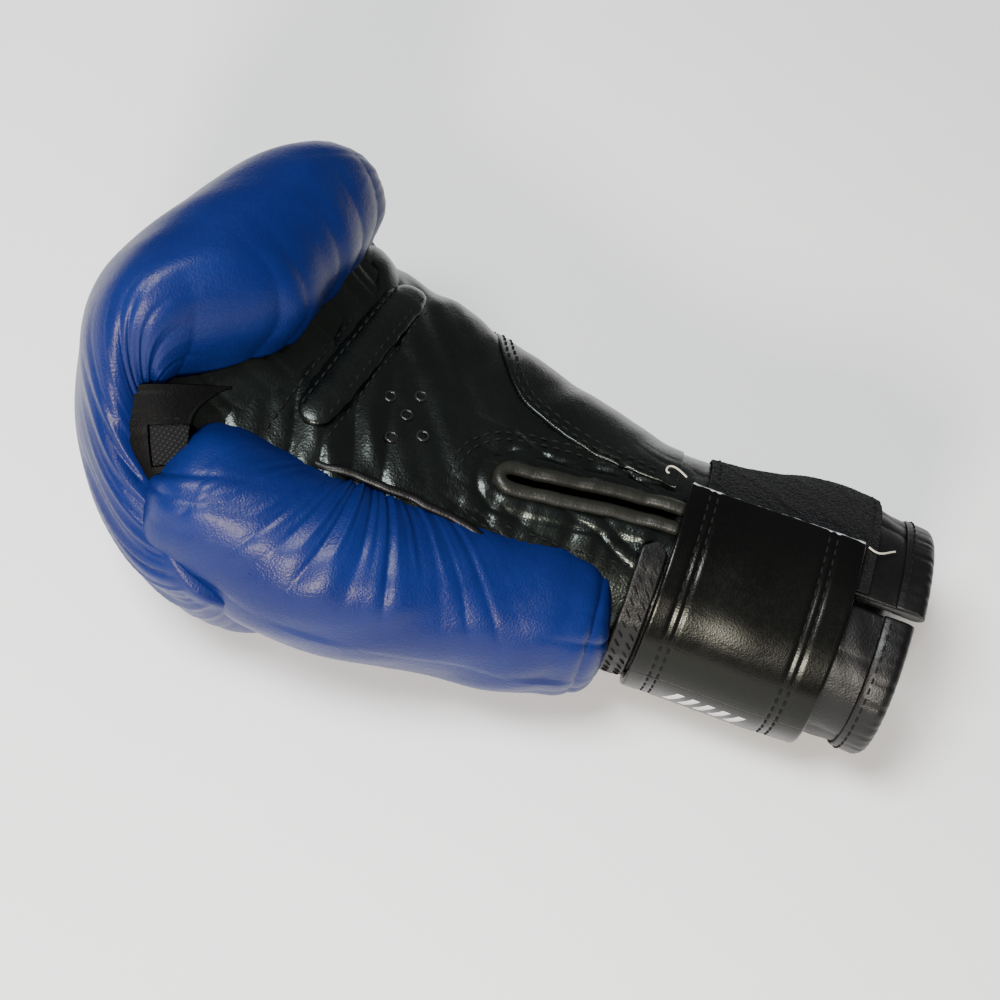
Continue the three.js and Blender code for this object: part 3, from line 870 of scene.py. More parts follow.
# Palm, from the cuff to the fold under the roll.
PALM_ROWS = [
    (76, 69, 76, 38, 38, 38, 0, 2.0, 0), (88, 69.5, 88, 38, 38, 38, 0, 2.0, 0),
    (115, 71, 115, 38, 43, 41, 0, 2.3, 0), (150, 74, 150, 38, 51, 48, 0, 2.8, 0),
    (185, 77, 182, 40, 58, 54, 0, 3.2, 0), (208, 79, 206, 43, 62, 57, 3, 3.2, 0),
    (219, 80, 218, 46, 64, 52, 12, 3.2, 0), (227, 80.5, 226, 49, 65, 48, 16, 3.2, 0)]


def palm_height(x: np.ndarray, y: np.ndarray) -> np.ndarray:
    """Height of the palm's plain face: the palm cushion's own profile read at x and y.

    Args:
        x: mm from the cuff's end.
        y: mm across.

    Returns:
        Heights, mm.
    """
    x, y = np.broadcast_arrays(np.asarray(x, float), np.asarray(y, float))
    table = np.array(PALM_ROWS, float)
    row = through(x, table[:, 0], table)
    outline, core, roundness = row[..., 1], row[..., 3], row[..., 7]
    half = np.where(y > 0, row[..., 5], row[..., 4])
    side = np.clip(np.abs(y - sway(x)) / half, 0, 1)
    return core + (outline - core) * np.clip(1 - side ** roundness, 0, 1) ** (1 / roundness)


def slit_middle(x: np.ndarray) -> np.ndarray:
    """Across place of the palm slit: from y 5 at the cuff to 15 at its round end."""
    return 5 + 10 * eased((np.asarray(x, float) - 84) / 75)


def palm_relief(x: np.ndarray, y: np.ndarray) -> np.ndarray:
    """Folds of the palm's leather above its plain face, mm.

    Bands of folds run across the palm under the fist, long wrinkles run beside the slit, the seams
    pull the leather in, and the slit itself is a deep groove.

    Args:
        x: mm from the cuff's end.
        y: mm across.

    Returns:
        Heights over the plain face, mm.
    """
    across = x + 0.24 * y
    folds = 1.9 * gathers(across, 11.5, 31) * eased(across, 168, 192) * (1 - eased(across, 222, 236))
    folds = folds + 0.9 * ripple(across + 0.5 * y, 27, 32) * eased(x, 140, 170)
    mid = slit_middle(x)
    beside = np.abs(y - mid)
    near = np.exp(-(((beside - 13) / 9) ** 2)) * eased(x, 84, 96) * (1 - eased(x, 146, 166))
    wrinkles = 1.3 * gathers(y + 0.22 * x + 1.5 * ripple(x, 30, 33), 7.5, 34) + 0.5 * ripple(x, 14, 35)
    folds = folds + near * wrinkles
    end = np.maximum(x - 140, 0)
    apart = np.hypot(np.where(x > 140, end, 0), beside)
    groove = -9.0 * (1 - eased(apart, 1.4, 3.0)) * eased(x, 78, 90)
    lip = 0.8 * np.exp(-(((apart - 7) / 3.0) ** 2)) * eased(x, 84, 96)
    ring = -0.5 * np.exp(-(((apart - 11.2) / 1.0) ** 2)) * eased(x, 84, 96)
    side = 0.7 * ripple(x * 0.9 - y * 0.5, 30, 36) * eased(-y, 8, 30)
    return folds + groove + lip + ring + side


def palm_point(x: np.ndarray, y: np.ndarray, lift: float = 0.0) -> np.ndarray:
    """Points on the palm's folded face, raised by lift mm.

    Args:
        x: mm from the cuff's end.
        y: mm across.
        lift: mm.

    Returns:
        Points.
    """
    x, y = np.broadcast_arrays(np.asarray(x, float), np.asarray(y, float))
    return np.stack([x, y, palm_height(x, y) + palm_relief(x, y) + lift], -1)


def palm_normal(x: np.ndarray, y: np.ndarray) -> np.ndarray:
    """Unit normals of the palm's plain face.

    Args:
        x: mm from the cuff's end.
        y: mm across.

    Returns:
        One unit vector for each place.
    """
    e = 0.6
    dzx = (palm_height(x + e, y) - palm_height(x - e, y)) / (2 * e)
    dzy = (palm_height(x, y + e) - palm_height(x, y - e)) / (2 * e)
    n = np.stack([-dzx, -dzy, np.ones_like(dzx)], -1)
    return n / np.linalg.norm(n, axis=-1, keepdims=True)


def palm_row(points: Sequence[tuple[float, float]], shift: float = 0.0,
             lift: float = 0.1) -> tuple[np.ndarray, np.ndarray]:
    """A sewn row on the palm: a smooth path through points in plan, moved sideways by shift mm.

    Args:
        points: x and y of the path.
        shift: mm to the left of its direction.
        lift: mm above the leather.

    Returns:
        The path and the leather's normals along it.
    """
    flat = np.array(points, float)
    knots = chord(flat)
    q = through(np.linspace(0, 1, 160), knots, flat)
    d = np.gradient(q, axis=0)
    d /= np.linalg.norm(d, axis=1, keepdims=True)
    q = q + shift * np.stack([-d[:, 1], d[:, 0]], -1)
    return palm_point(q[:, 0], q[:, 1], lift), palm_normal(q[:, 0], q[:, 1])


@dataclass
class FistPadding:
    """The blue padded cover: back of the hand, knuckles, side walls and the rolled fingers."""

    cushion: Cushion = field(default_factory=lambda: Cushion(COVER_ROWS, 200, 330))
    side_gather: float = 2.1
    roll_gather: float = 1.7

    def relief(self, s: np.ndarray, angle: np.ndarray, p: np.ndarray) -> np.ndarray:
        """Height of the leather's gathers and dents over the plain pillow, mm.

        Gathers stand along the side seams, fan out from the tab at the thumb's side, and gather the
        roll's lower edge; broad uneven padding lies under everything.

        Args:
            s: mm along the profile.
            angle: degrees across it.
            p: the plain pillow's points.

        Returns:
            Heights, mm.
        """
        a = np.abs(angle)
        front = eased(s, 150, 215)
        wall = eased(a, 22, 60) * (1 - eased(a, 84, 90))
        thumb_side = angle > 0
        fan = s + 0.22 * (a - 60)
        rolled = eased(s, s.max() - 150, s.max() - 90)
        strength = np.where(thumb_side, 1.0 - 0.45 * rolled, 0.55 - 0.5 * rolled)
        pull = strength * (0.25 + 0.75 * front) * self.side_gather
        out = pull * wall * np.where(thumb_side, gathers(fan, 15.5, 3), gathers(fan, 17.0, 7))
        fine = 0.45 * wall * front * (1 - 0.8 * rolled) * ripple(s + 0.3 * a, 6.5, 11)
        end = eased(s, s.max() - 66, s.max() - 6)
        y = p[..., 1]
        hem = gathers(y + 0.25 * (s.max() - s), 15.0, 13)
        lower = self.roll_gather * end * (1 - 0.6 * eased(a, 60, 88)) * hem
        near_roll = eased(s, s.max() - 120, s.max() - 40) * eased(a, 14, 34)
        tuck = 0.9 * near_roll * gathers(s * 0.8 + y * 0.5, 19.0, 17)
        broad = 0.9 * ripple(s + 14 * np.sin(y / 19), 74, 19) * (1 - eased(a, 70, 90))
        broad = broad + 0.5 * ripple(y + 0.4 * s, 47, 23)
        return out + fine + lower + tuck * 0.6 + broad * eased(s, 60, 150) * 0.9

    def build(self, f: Finishes) -> None:
        """Builds and dresses the cover.

        Args:
            f: the glove's finishes.
        """
        p, s, angle = self.cushion.surface()
        n = normals_of(p)
        if n[self.cushion.along // 2, self.cushion.across // 2, 0] < 0:
            n = -n
        height = self.relief(s, angle, p)
        q = p + n * (height * (1 - eased(np.abs(angle), 86, 90)))[..., None]
        q[..., 2] = np.maximum(q[..., 2], 0.8)
        piece = self.cushion.closed("padded_cover", q)
        dress_bending(piece, f.blue, (Body.HAND, Body.FINGERS), *KNUCKLES, "fist_cover",
                      ("fist_cover", "fist_foam", "back_cover", "back_foam"))


# Seams of the palm in plan, x and y.
PANEL_SEAM = [(92, -6.6), (97, -6.6), (110, -7.2), (126.5, -9.6), (137, -13.2), (146, -18.5), (152, -26),
              (157, -36), (161, -50), (163, -60)]
RING_SEAM = [(96, 23.5), (112, 25.8), (127, 26.8), (141, 28.0), (151, 26.2), (156.5, 21.5), (156.8, 14),
             (154, 6.5), (148, 1.0), (139, -2.4), (128.6, -4.4), (114, -5.6), (98, -6.2)]
VENTS = [(178, 6), (185, 1), (171, 11), (176, -3.5), (180, 15.5)]


@dataclass
class Palm:
    """The black palm: main panel, lapped side panel, slit with its rolled binding, bar and vents."""

    cushion: Cushion = field(default_factory=lambda: Cushion(PALM_ROWS, 260, 210))
    binding_radius: float = 2.35
    slit_half: float = 3.7
    bar_x: float = 200.5
    bar_lean: float = 0.22

    def panel(self, f: Finishes) -> None:
        """The palm's padded panel with its folds.

        Args:
            f: the glove's finishes.
        """
        p, _, angle = self.cushion.surface()
        n = normals_of(p)
        if n[self.cushion.along // 2, self.cushion.across // 2, 2] < 0:
            n = -n
        fade = 1 - eased(np.abs(angle), 70, 88)
        q = p + n * (palm_relief(p[..., 0], p[..., 1]) * fade)[..., None]
        side = 0.9 * (1 - fade) * ripple(p[..., 0] + p[..., 2], 16, 41) * (1 - eased(np.abs(angle), 87, 90))
        q = q + n * side[..., None]
        piece = self.cushion.closed("palm_leather", q)
        dress(piece, f.palm, Body.HAND, ("palm_panel", "palm_pad"))

    def side_panel(self, f: Finishes) -> None:
        """The little-finger side panel, lapped over the main one along a curved seam.

        Args:
            f: the glove's finishes.
        """
        seam = np.array(PANEL_SEAM, float)
        x = np.linspace(90, 162, 100)
        y0 = through(x, seam[:, 0], seam[:, 1])
        half = through(x, [r[0] for r in PALM_ROWS], [r[4] for r in PALM_ROWS])
        v = np.linspace(0, 1, 70)[None, :]
        y = y0[:, None] + v * ((-half * 0.985)[:, None] - y0[:, None])
        p = palm_point(x[:, None], y)
        p[..., 2] += 0.9 * (1 - eased(v, 0.8, 1.0)) + 0.25
        piece = sheet("side_panel_leather", p[:, ::-1], 1.2)
        dress(piece, f.palm, Body.HAND, ("pinky_side_panel",))

    def seams(self, f: Finishes) -> None:
        """Double stitched rows along the side panel, round the slit's end and beside the bar.

        Args:
            f: the glove's finishes.
        """
        bar = [[(self.bar_x + 1.0 + self.bar_lean * y + s, y) for y in np.linspace(-46, 30, 12)]
               for s in (-8.8, 8.8)]
        rows = [palm_row(PANEL_SEAM[1:], -1.8, 1.15), palm_row(PANEL_SEAM[1:], -4.4, 1.15),
                palm_row(RING_SEAM, 0.0), palm_row(RING_SEAM, 2.6), palm_row(bar[0]), palm_row(bar[1])]
        dress(stitches("palm_stitches", rows, 2.7, 3.9, 0.45), f.black_thread, Body.HAND)

    def slit(self, f: Finishes) -> None:
        """Rolled binding round the slit: a flattened tube on a hairpin path, lightly crumpled.

        Args:
            f: the glove's finishes.
        """
        end = np.radians(np.linspace(-90, 90, 15))
        x = np.concatenate([np.linspace(86, 138, 40), 140 + 4.4 * np.cos(end), np.linspace(138, 86, 40)])
        side = np.full(40, self.slit_half)
        off = np.concatenate([-side, self.slit_half * np.sin(end), side])
        y = slit_middle(x) + off
        step = 0.8
        path = evenly(np.stack([x, y, palm_height(x, y) + 1.0], -1), step)
        s = np.arange(len(path)) * step
        radius = self.binding_radius * (1 + 0.04 * ripple(s, 13.0, 51)) * (1 + 0.015 * ripple(s, 3.1, 52))
        path[:, 2] += 0.35 * ripple(s, 19, 53)
        roll = tube("slit_binding_roll", path, radius, 14, 0.85)
        dress(roll, f.olive, Body.HAND, ("slit_binding",))

    def bar(self, f: Finishes) -> None:
        """The padded grip bar across the palm under the fist.

        Args:
            f: the glove's finishes.
        """
        y = np.linspace(-47, 23, 60)
        share = np.sqrt(np.clip(1 - ((y + 12) / 35.2) ** 8, 0.02, 1))
        x = self.bar_x + self.bar_lean * y
        path = np.stack([x, y, palm_height(x, y) + 1.3], -1)
        radius = 7.0 * share * (1 + 0.05 * ripple(y, 9, 61))
        piece = tube("grip_bar_roll", path, radius, 18, 0.34)
        dress(piece, f.palm, Body.HAND, ("grip_bar",))
        rows = []
        for s in (-4.6, 4.6):
            yy = np.linspace(-42, 19, 80)
            xx = self.bar_x + self.bar_lean * yy + s
            row = np.stack([xx, yy, palm_height(xx, yy) + 3.1], -1)
            rows.append((row, np.tile([0.0, 0.0, 1.0], (80, 1))))
        dress(stitches("grip_bar_stitches", rows, 2.7, 3.9, 0.42), f.black_thread, Body.HAND)

    def vents(self, f: Finishes) -> None:
        """Five small eyelets on the leather: a flattened ring whose middle line is 1.75 mm in radius.

        Args:
            f: the glove's finishes.
        """
        around, section = 24, 10
        a = np.linspace(0, 2 * np.pi, around, endpoint=False)[:, None]
        t = np.linspace(0, 2 * np.pi, section, endpoint=False)[None, :]
        r = 1.75 + 0.5 * np.cos(t)
        j = np.arange(section)
        k1 = (j + 1) % section
        last = np.stack([(around - 1) * section + j, j, k1, (around - 1) * section + k1], -1)
        for k, (x, y) in enumerate(VENTS):
            base = float(palm_point(np.array(x, float), np.array(y, float))[..., 2])
            z = base + 0.25 + 0.42 * np.sin(t) + 0 * a
            points = np.stack([x + r * np.cos(a), y + r * np.sin(a), z], -1).reshape(-1, 3)
            faces = turned_out(points, np.concatenate([grid_faces(around, section, True), last], 0))
            piece = make_mesh(f"vent_ring_{k + 1}", points, faces)
            dress(piece, f.eyelet, Body.HAND, (f"vent_eyelet_{k + 1}",))

    def build(self, f: Finishes) -> None:
        """Builds and dresses the palm.

        Args:
            f: the glove's finishes.
        """
        self.panel(f)
        self.side_panel(f)
        self.seams(f)
        self.slit(f)
        self.bar(f)
        self.vents(f)


# Thumb's middle line x y z, then half width across and upwards.
THUMB_ROWS = [(97, 33, 38, 8, 10), (99, 33.5, 38, 16, 18.5), (104, 34, 38, 20.5, 23.5),
              (116, 36, 39, 23.5, 26), (146, 42, 43, 25, 27), (188, 51, 50, 26, 28),
              (215, 50, 56, 25.5, 27.5), (230, 49, 58, 24, 26), (240, 48.5, 60, 18.5, 20), (245, 48, 61, 9, 10)]


@dataclass
class Thumb:
    """The blue thumb with its gathers, and the black welt between it and the palm."""

    around: int = 190
    along: int = 260
    gather: float = 2.0
    power: float = 2.2

    def surface(self) -> tuple[np.ndarray, np.ndarray, np.ndarray]:
        """Tube of superellipses, power 2.2, along the thumb's middle line.

        Returns:
            Grid of points, distance along in mm and the angle in degrees from the outer side.
        """
        table = np.array(THUMB_ROWS, float)
        knots = chord(table[:, :3])
        u = np.linspace(0, 1, self.along)
        row = through(u, knots, table)
        c = row[:, :3]
        t = np.gradient(c, axis=0)
        t /= np.linalg.norm(t, axis=1, keepdims=True)
        side = np.cross([0.0, 0.0, 1.0], t)
        side /= np.linalg.norm(side, axis=1, keepdims=True)
        up = np.cross(t, side)
        a = np.linspace(0, 360, self.around, endpoint=False)
        cos, sin = (signed_power(g(np.radians(a)), 2 / self.power)[None, :, None] for g in (np.cos, np.sin))
        wide, high = row[:, 3, None, None], row[:, 4, None, None]
        p = c[:, None] + cos * side[:, None] * wide + sin * up[:, None] * high
        return p, np.repeat(row[:, :1], self.around, 1), np.repeat(a[None, :], self.along, 0)

    def relief(self, x: np.ndarray, a: np.ndarray) -> np.ndarray:
        """Gathers that fan out of the welt, folds at the cuff end, and soft padding under them.

        Args:
            x: mm from the cuff's end.
            a: degrees round the thumb.

        Returns:
            Heights, mm.
        """
        inner = np.where(a > 250, a - 360, a)
        away = np.clip((128 - inner) / 90, 0, 2)
        s = (x - 182) / (0.60 + 0.62 * away)
        strong = np.exp(-(((s - 2) / 34) ** 2))
        reach = (1 - eased(away, 0.75, 1.35)) * (1 - eased(inner - 128, 0, 25))
        fan = self.gather * strong * gathers(s, 9.5, 71) * reach
        small = 0.5 * strong * ripple(s, 4.6, 72) * (1 - eased(away, 0.3, 0.9))
        cuff = 0.8 * (1 - eased(x, 103, 128)) * gathers(a * 0.38, 13.0, 73)
        tip = 1.2 * eased(x, 205, 236) * gathers(a * 0.42 + 0.3 * x, 15.0, 74) * (1 - eased(away, 0.9, 1.5))
        broad = 0.9 * ripple(x + 10 * np.sin(np.radians(a)), 62, 75) + 0.5 * ripple(0.4 * a + 0.5 * x, 31, 76)
        return fan + small + cuff + tip + broad * eased(x, 98, 118)

    def build(self, f: Finishes) -> None:
        """Builds and dresses the thumb and its welt.

        Args:
            f: the glove's finishes.
        """
        p, x, a = self.surface()
        n = normals_of(p)
        mid = p.mean(1, keepdims=True)
        if np.einsum("ijk,ijk->", n[100:120], (p - mid)[100:120]) < 0:
            n = -n
        q = p + n * self.relief(x, a)[..., None]
        piece = shell("thumb_padding", q)
        dress(piece, f.blue, Body.THUMB, ("thumb_cover", "thumb_foam", "thumb_liner"))
        self.welt(f)

    def welt(self, f: Finishes) -> None:
        """The rolled welt, laid 1 mm outside the thumb where its oval meets the palm's height.

        Args:
            f: the glove's finishes.
        """
        table = np.array(THUMB_ROWS, float)
        xs = np.linspace(106, 203, 90)
        row = through(xs, table[:, 0], table)
        top = palm_height(xs, row[:, 1] - row[:, 3] * 0.6)
        rise = np.abs(top - row[:, 2]) / (row[:, 4] + 1)
        inner = np.clip(1 - rise ** self.power, 0, 1) ** (1 / self.power)
        y = row[:, 1] - (row[:, 3] + 1) * inner - 0.9
        path = evenly(np.stack([xs, y, palm_height(xs, y) + 0.9], -1), 1.0)
        share = np.linspace(0, 1, len(path))
        path[:, 1] += 0.4 * ripple(np.arange(len(path)) * 1.0, 17, 77) + 2.0 * eased(share, 0.8, 1.0)
        path[:, 2] -= 3.2 * eased(share, 0.86, 1.0) + 2.0 * (1 - eased(share, 0.0, 0.08))
        welt = tube("thumb_welt_roll", path, 1.5, 10, 1.0)
        dress(welt, f.trim, Body.HAND, ("thumb_welt",))


# The tab's edge by the fist and its edge by the palm, from the roll down to the thumb's tip.
TAB_OUTER = [(254, 36, 89), (255.5, 43.5, 83), (251, 51, 74), (244, 56, 64)]
TAB_INNER = [(231, 26, 87.5), (237.5, 37, 84.5), (236, 46, 78), (235, 53, 68)]


@dataclass
class Gusset:
    """The black tab, the airing net and the crease leather between the thumb's tip and the fist."""

    thick: float = 1.3
    outwards: tuple[float, float, float] = (0.25, 0.5, 0.82)

    def ruled(self, t0: float, t1: float, s0: float, s1: float, lift: float) -> np.ndarray:
        """Ruled sheet between the tab's outer and inner lines, bowed out by lift mm and crumpled.

        Args:
            t0: start along the two lines.
            t1: end along them.
            s0: start between them, 0 on the outer one.
            s1: end between them, 1 on the inner one.
            lift: mm outwards.

        Returns:
            Grid of points.
        """
        t = np.linspace(t0, t1, 46)
        s = np.linspace(s0, s1, 34)
        knots = [0, 0.34, 0.67, 1]
        a = through(t, knots, TAB_OUTER)[:, None]
        b = through(t, knots, TAB_INNER)[:, None]
        out = lift + 1.2 * np.sin(np.pi * np.clip(s, 0, 1))[None, :] + 0.14 * ripple(t * 60, 14, 81)[:, None]
        return a + (b - a) * s[None, :, None] + out[..., None] * np.array(self.outwards)

    def crease(self, f: Finishes) -> None:
        """Leather that runs from the palm up under the roll, gathered towards the thumb.

        Args:
            f: the glove's finishes.
        """
        y = np.linspace(-47, 37, 130)[:, None]
        v = np.linspace(0, 1, 40)[None, :]
        x0 = 204 + 22 * eased(y, 0, 38)
        x1 = 234 + 22 * eased(y, 2, 34)
        x = x0 + (x1 - x0) * v
        z = palm_height(x0, y) - 1.2 + (90.5 - palm_height(x0, y)) * v ** 1.5
        z = z + 0.9 * gathers(y + 0.25 * x, 8.0, 83) * np.sin(np.pi * np.clip(v, 0.0, 1.0))
        y = y + 0 * x
        p = np.stack([fall_back(x, y), y, z], -1)
        piece = sheet("crease_leather", p[:, ::-1], self.thick)
        dress_bending(piece, f.palm, (Body.HAND, Body.FINGERS), *KNUCKLES, "crease_panel", ("crease_panel",))

    def build(self, f: Finishes) -> None:
        """Builds and dresses the net, the tab with its rim and foot, and the crease leather.

        Args:
            f: the glove's finishes.
        """
        net = sheet("thumb_tab_net", self.ruled(0.36, 0.86, 0.2, 1.0, 0.4)[:, ::-1], 0.8)
        dress(net, f.net, Body.FINGERS, ("thumb_web",))
        tab = sheet("thumb_tab_leather", self.ruled(-0.02, 0.46, -0.04, 1.05, 0.9)[:, ::-1], self.thick)
        dress(tab, f.tab, Body.FINGERS, ("thumb_tab",))
        rim = sheet("thumb_tab_rim", self.ruled(0.4, 0.9, -0.02, 0.36, 0.9)[:, ::-1], self.thick)
        dress(rim, f.tab, Body.FINGERS)
        foot = sheet("thumb_tab_foot", self.ruled(0.8, 1.02, 0.0, 1.02, 0.8)[:, ::-1], self.thick)
        dress(foot, f.tab, Body.FINGERS)
        mid = self.ruled(0.42, 0.43, 0.06, 0.98, 1.7)[0]
        rows = [(mid + np.array([0.1, 0.2, 0.5]), np.tile(self.outwards, (len(mid), 1)))]
        dress(stitches("thumb_tab_stitches", rows, 2.2, 3.2, 0.34), f.black_thread, Body.FINGERS)
        self.crease(f)


# ------------------------------------------------------------------------------- cuff and strap
def ring(x: np.ndarray, degrees: np.ndarray, grow: Any) -> np.ndarray:
    """The cuff's oval: half axes by x, grown outwards, with the flap's bulge near -62 degrees.

    Args:
        x: mm from the cuff's end.
        degrees: from the palm side towards the thumb.
        grow: mm outwards.

    Returns:
        Points.
    """
    x, degrees, grow = np.broadcast_arrays(*(np.asarray(v, float) for v in (x, degrees, grow)))
    t = np.radians(degrees)
    bulge = 7 * np.exp(-(((degrees + 62) / 36) ** 2) - ((x - 36) / 26) ** 2)
    stations = [0, 20, 50, 80, 95]
    a = through(x, stations, [40, 38.5, 38, 38, 39]) + grow + bulge
    b = through(x, stations, [31, 31.5, 32, 32, 32.5]) + grow + bulge
    z0 = through(x, [0, 50, 95], [36, 36, 37.5])
    return np.stack([x, a * np.sin(t), z0 + b * np.cos(t)], -1)


def ring_row(x: Any, degrees: Any, grow: float) -> tuple[np.ndarray, np.ndarray]:
    """A sewn row on the cuff.

    Args:
        x: one place or its two ends.
        degrees: one angle or its two ends.
        grow: mm above the oval.

    Returns:
        The path and outward normals along it.
    """
    t = np.linspace(0, 1, 120)
    xs = np.interp(t, [0, 1], np.broadcast_to(x, (2,)))
    ds = np.interp(t, [0, 1], np.broadcast_to(degrees, (2,)))
    return ring(xs, ds, grow), ring(xs, ds, grow + 1.0) - ring(xs, ds, grow)


def band(name: str, x0: float, x1: float, deg0: float, deg1: float, g0: float, g1: float,
         relief: Callable[[np.ndarray, np.ndarray], np.ndarray] | None = None, wide: int = 60,
         long: int = 120, corner: float = 0.0) -> bpy.types.Object:
    """Closed band on the cuff's oval: a flat loop with round edges carried round the oval.

    Args:
        name: the piece's name.
        x0: first edge.
        x1: second edge.
        deg0: first end.
        deg1: second end.
        g0: inner face, mm from the oval.
        g1: outer face, mm from the oval.
        relief: extra height of the outer face by x and degrees.
        wide: points across.
        long: points along.
        corner: how far the outline's corners are rounded at the ends, mm.

    Returns:
        The new object.
    """
    half = (g1 - g0) / 2
    edge = min(half, (x1 - x0) / 4)
    mm_per_degree = 0.62
    arc = np.radians(np.linspace(-90, 90, 7))[1:-1]
    top = np.linspace(x0 + edge, x1 - edge, wide)
    xs = np.concatenate([top, x1 - edge + edge * np.cos(arc[::-1]), top[::-1],
                         x0 + edge - edge * np.cos(arc)])
    gs = np.concatenate([np.full(wide, g1), (g0 + half) + half * np.sin(arc[::-1]), np.full(wide, g0),
                         (g0 + half) + half * np.sin(arc)])
    outer = np.concatenate([np.ones(wide), 0.5 + 0.5 * np.sin(arc[::-1]), np.zeros(wide),
                            0.5 + 0.5 * np.sin(arc)])
    d = np.linspace(deg0, deg1, long)[:, None]
    mid = (x0 + x1) / 2
    from_end = np.minimum(d - deg0, deg1 - d) * mm_per_degree
    pull = 1 - eased(from_end / max(corner, 1e-6), 0, 1) if corner else np.zeros_like(d)
    narrow = 1 - pull ** 2 * corner / ((x1 - x0) / 2)
    xx = mid + (xs[None, :] - mid) * narrow
    gg = gs[None, :] + 0 * d
    if relief is not None:
        gg = gg + outer[None, :] * relief(xx, d + 0 * xx)
    return shell(name, ring(xx, d + 0 * xx, gg))


# The pocket's middle line x z, then half width and half height.
POCKET_ROWS = [(70, 37, 30, 24), (88, 38, 30, 23), (125, 43, 32, 17), (165, 49, 36, 13),
               (200, 55, 38, 11.5), (220, 61, 34, 9), (230, 69, 26, 6), (234, 75, 16, 4)]


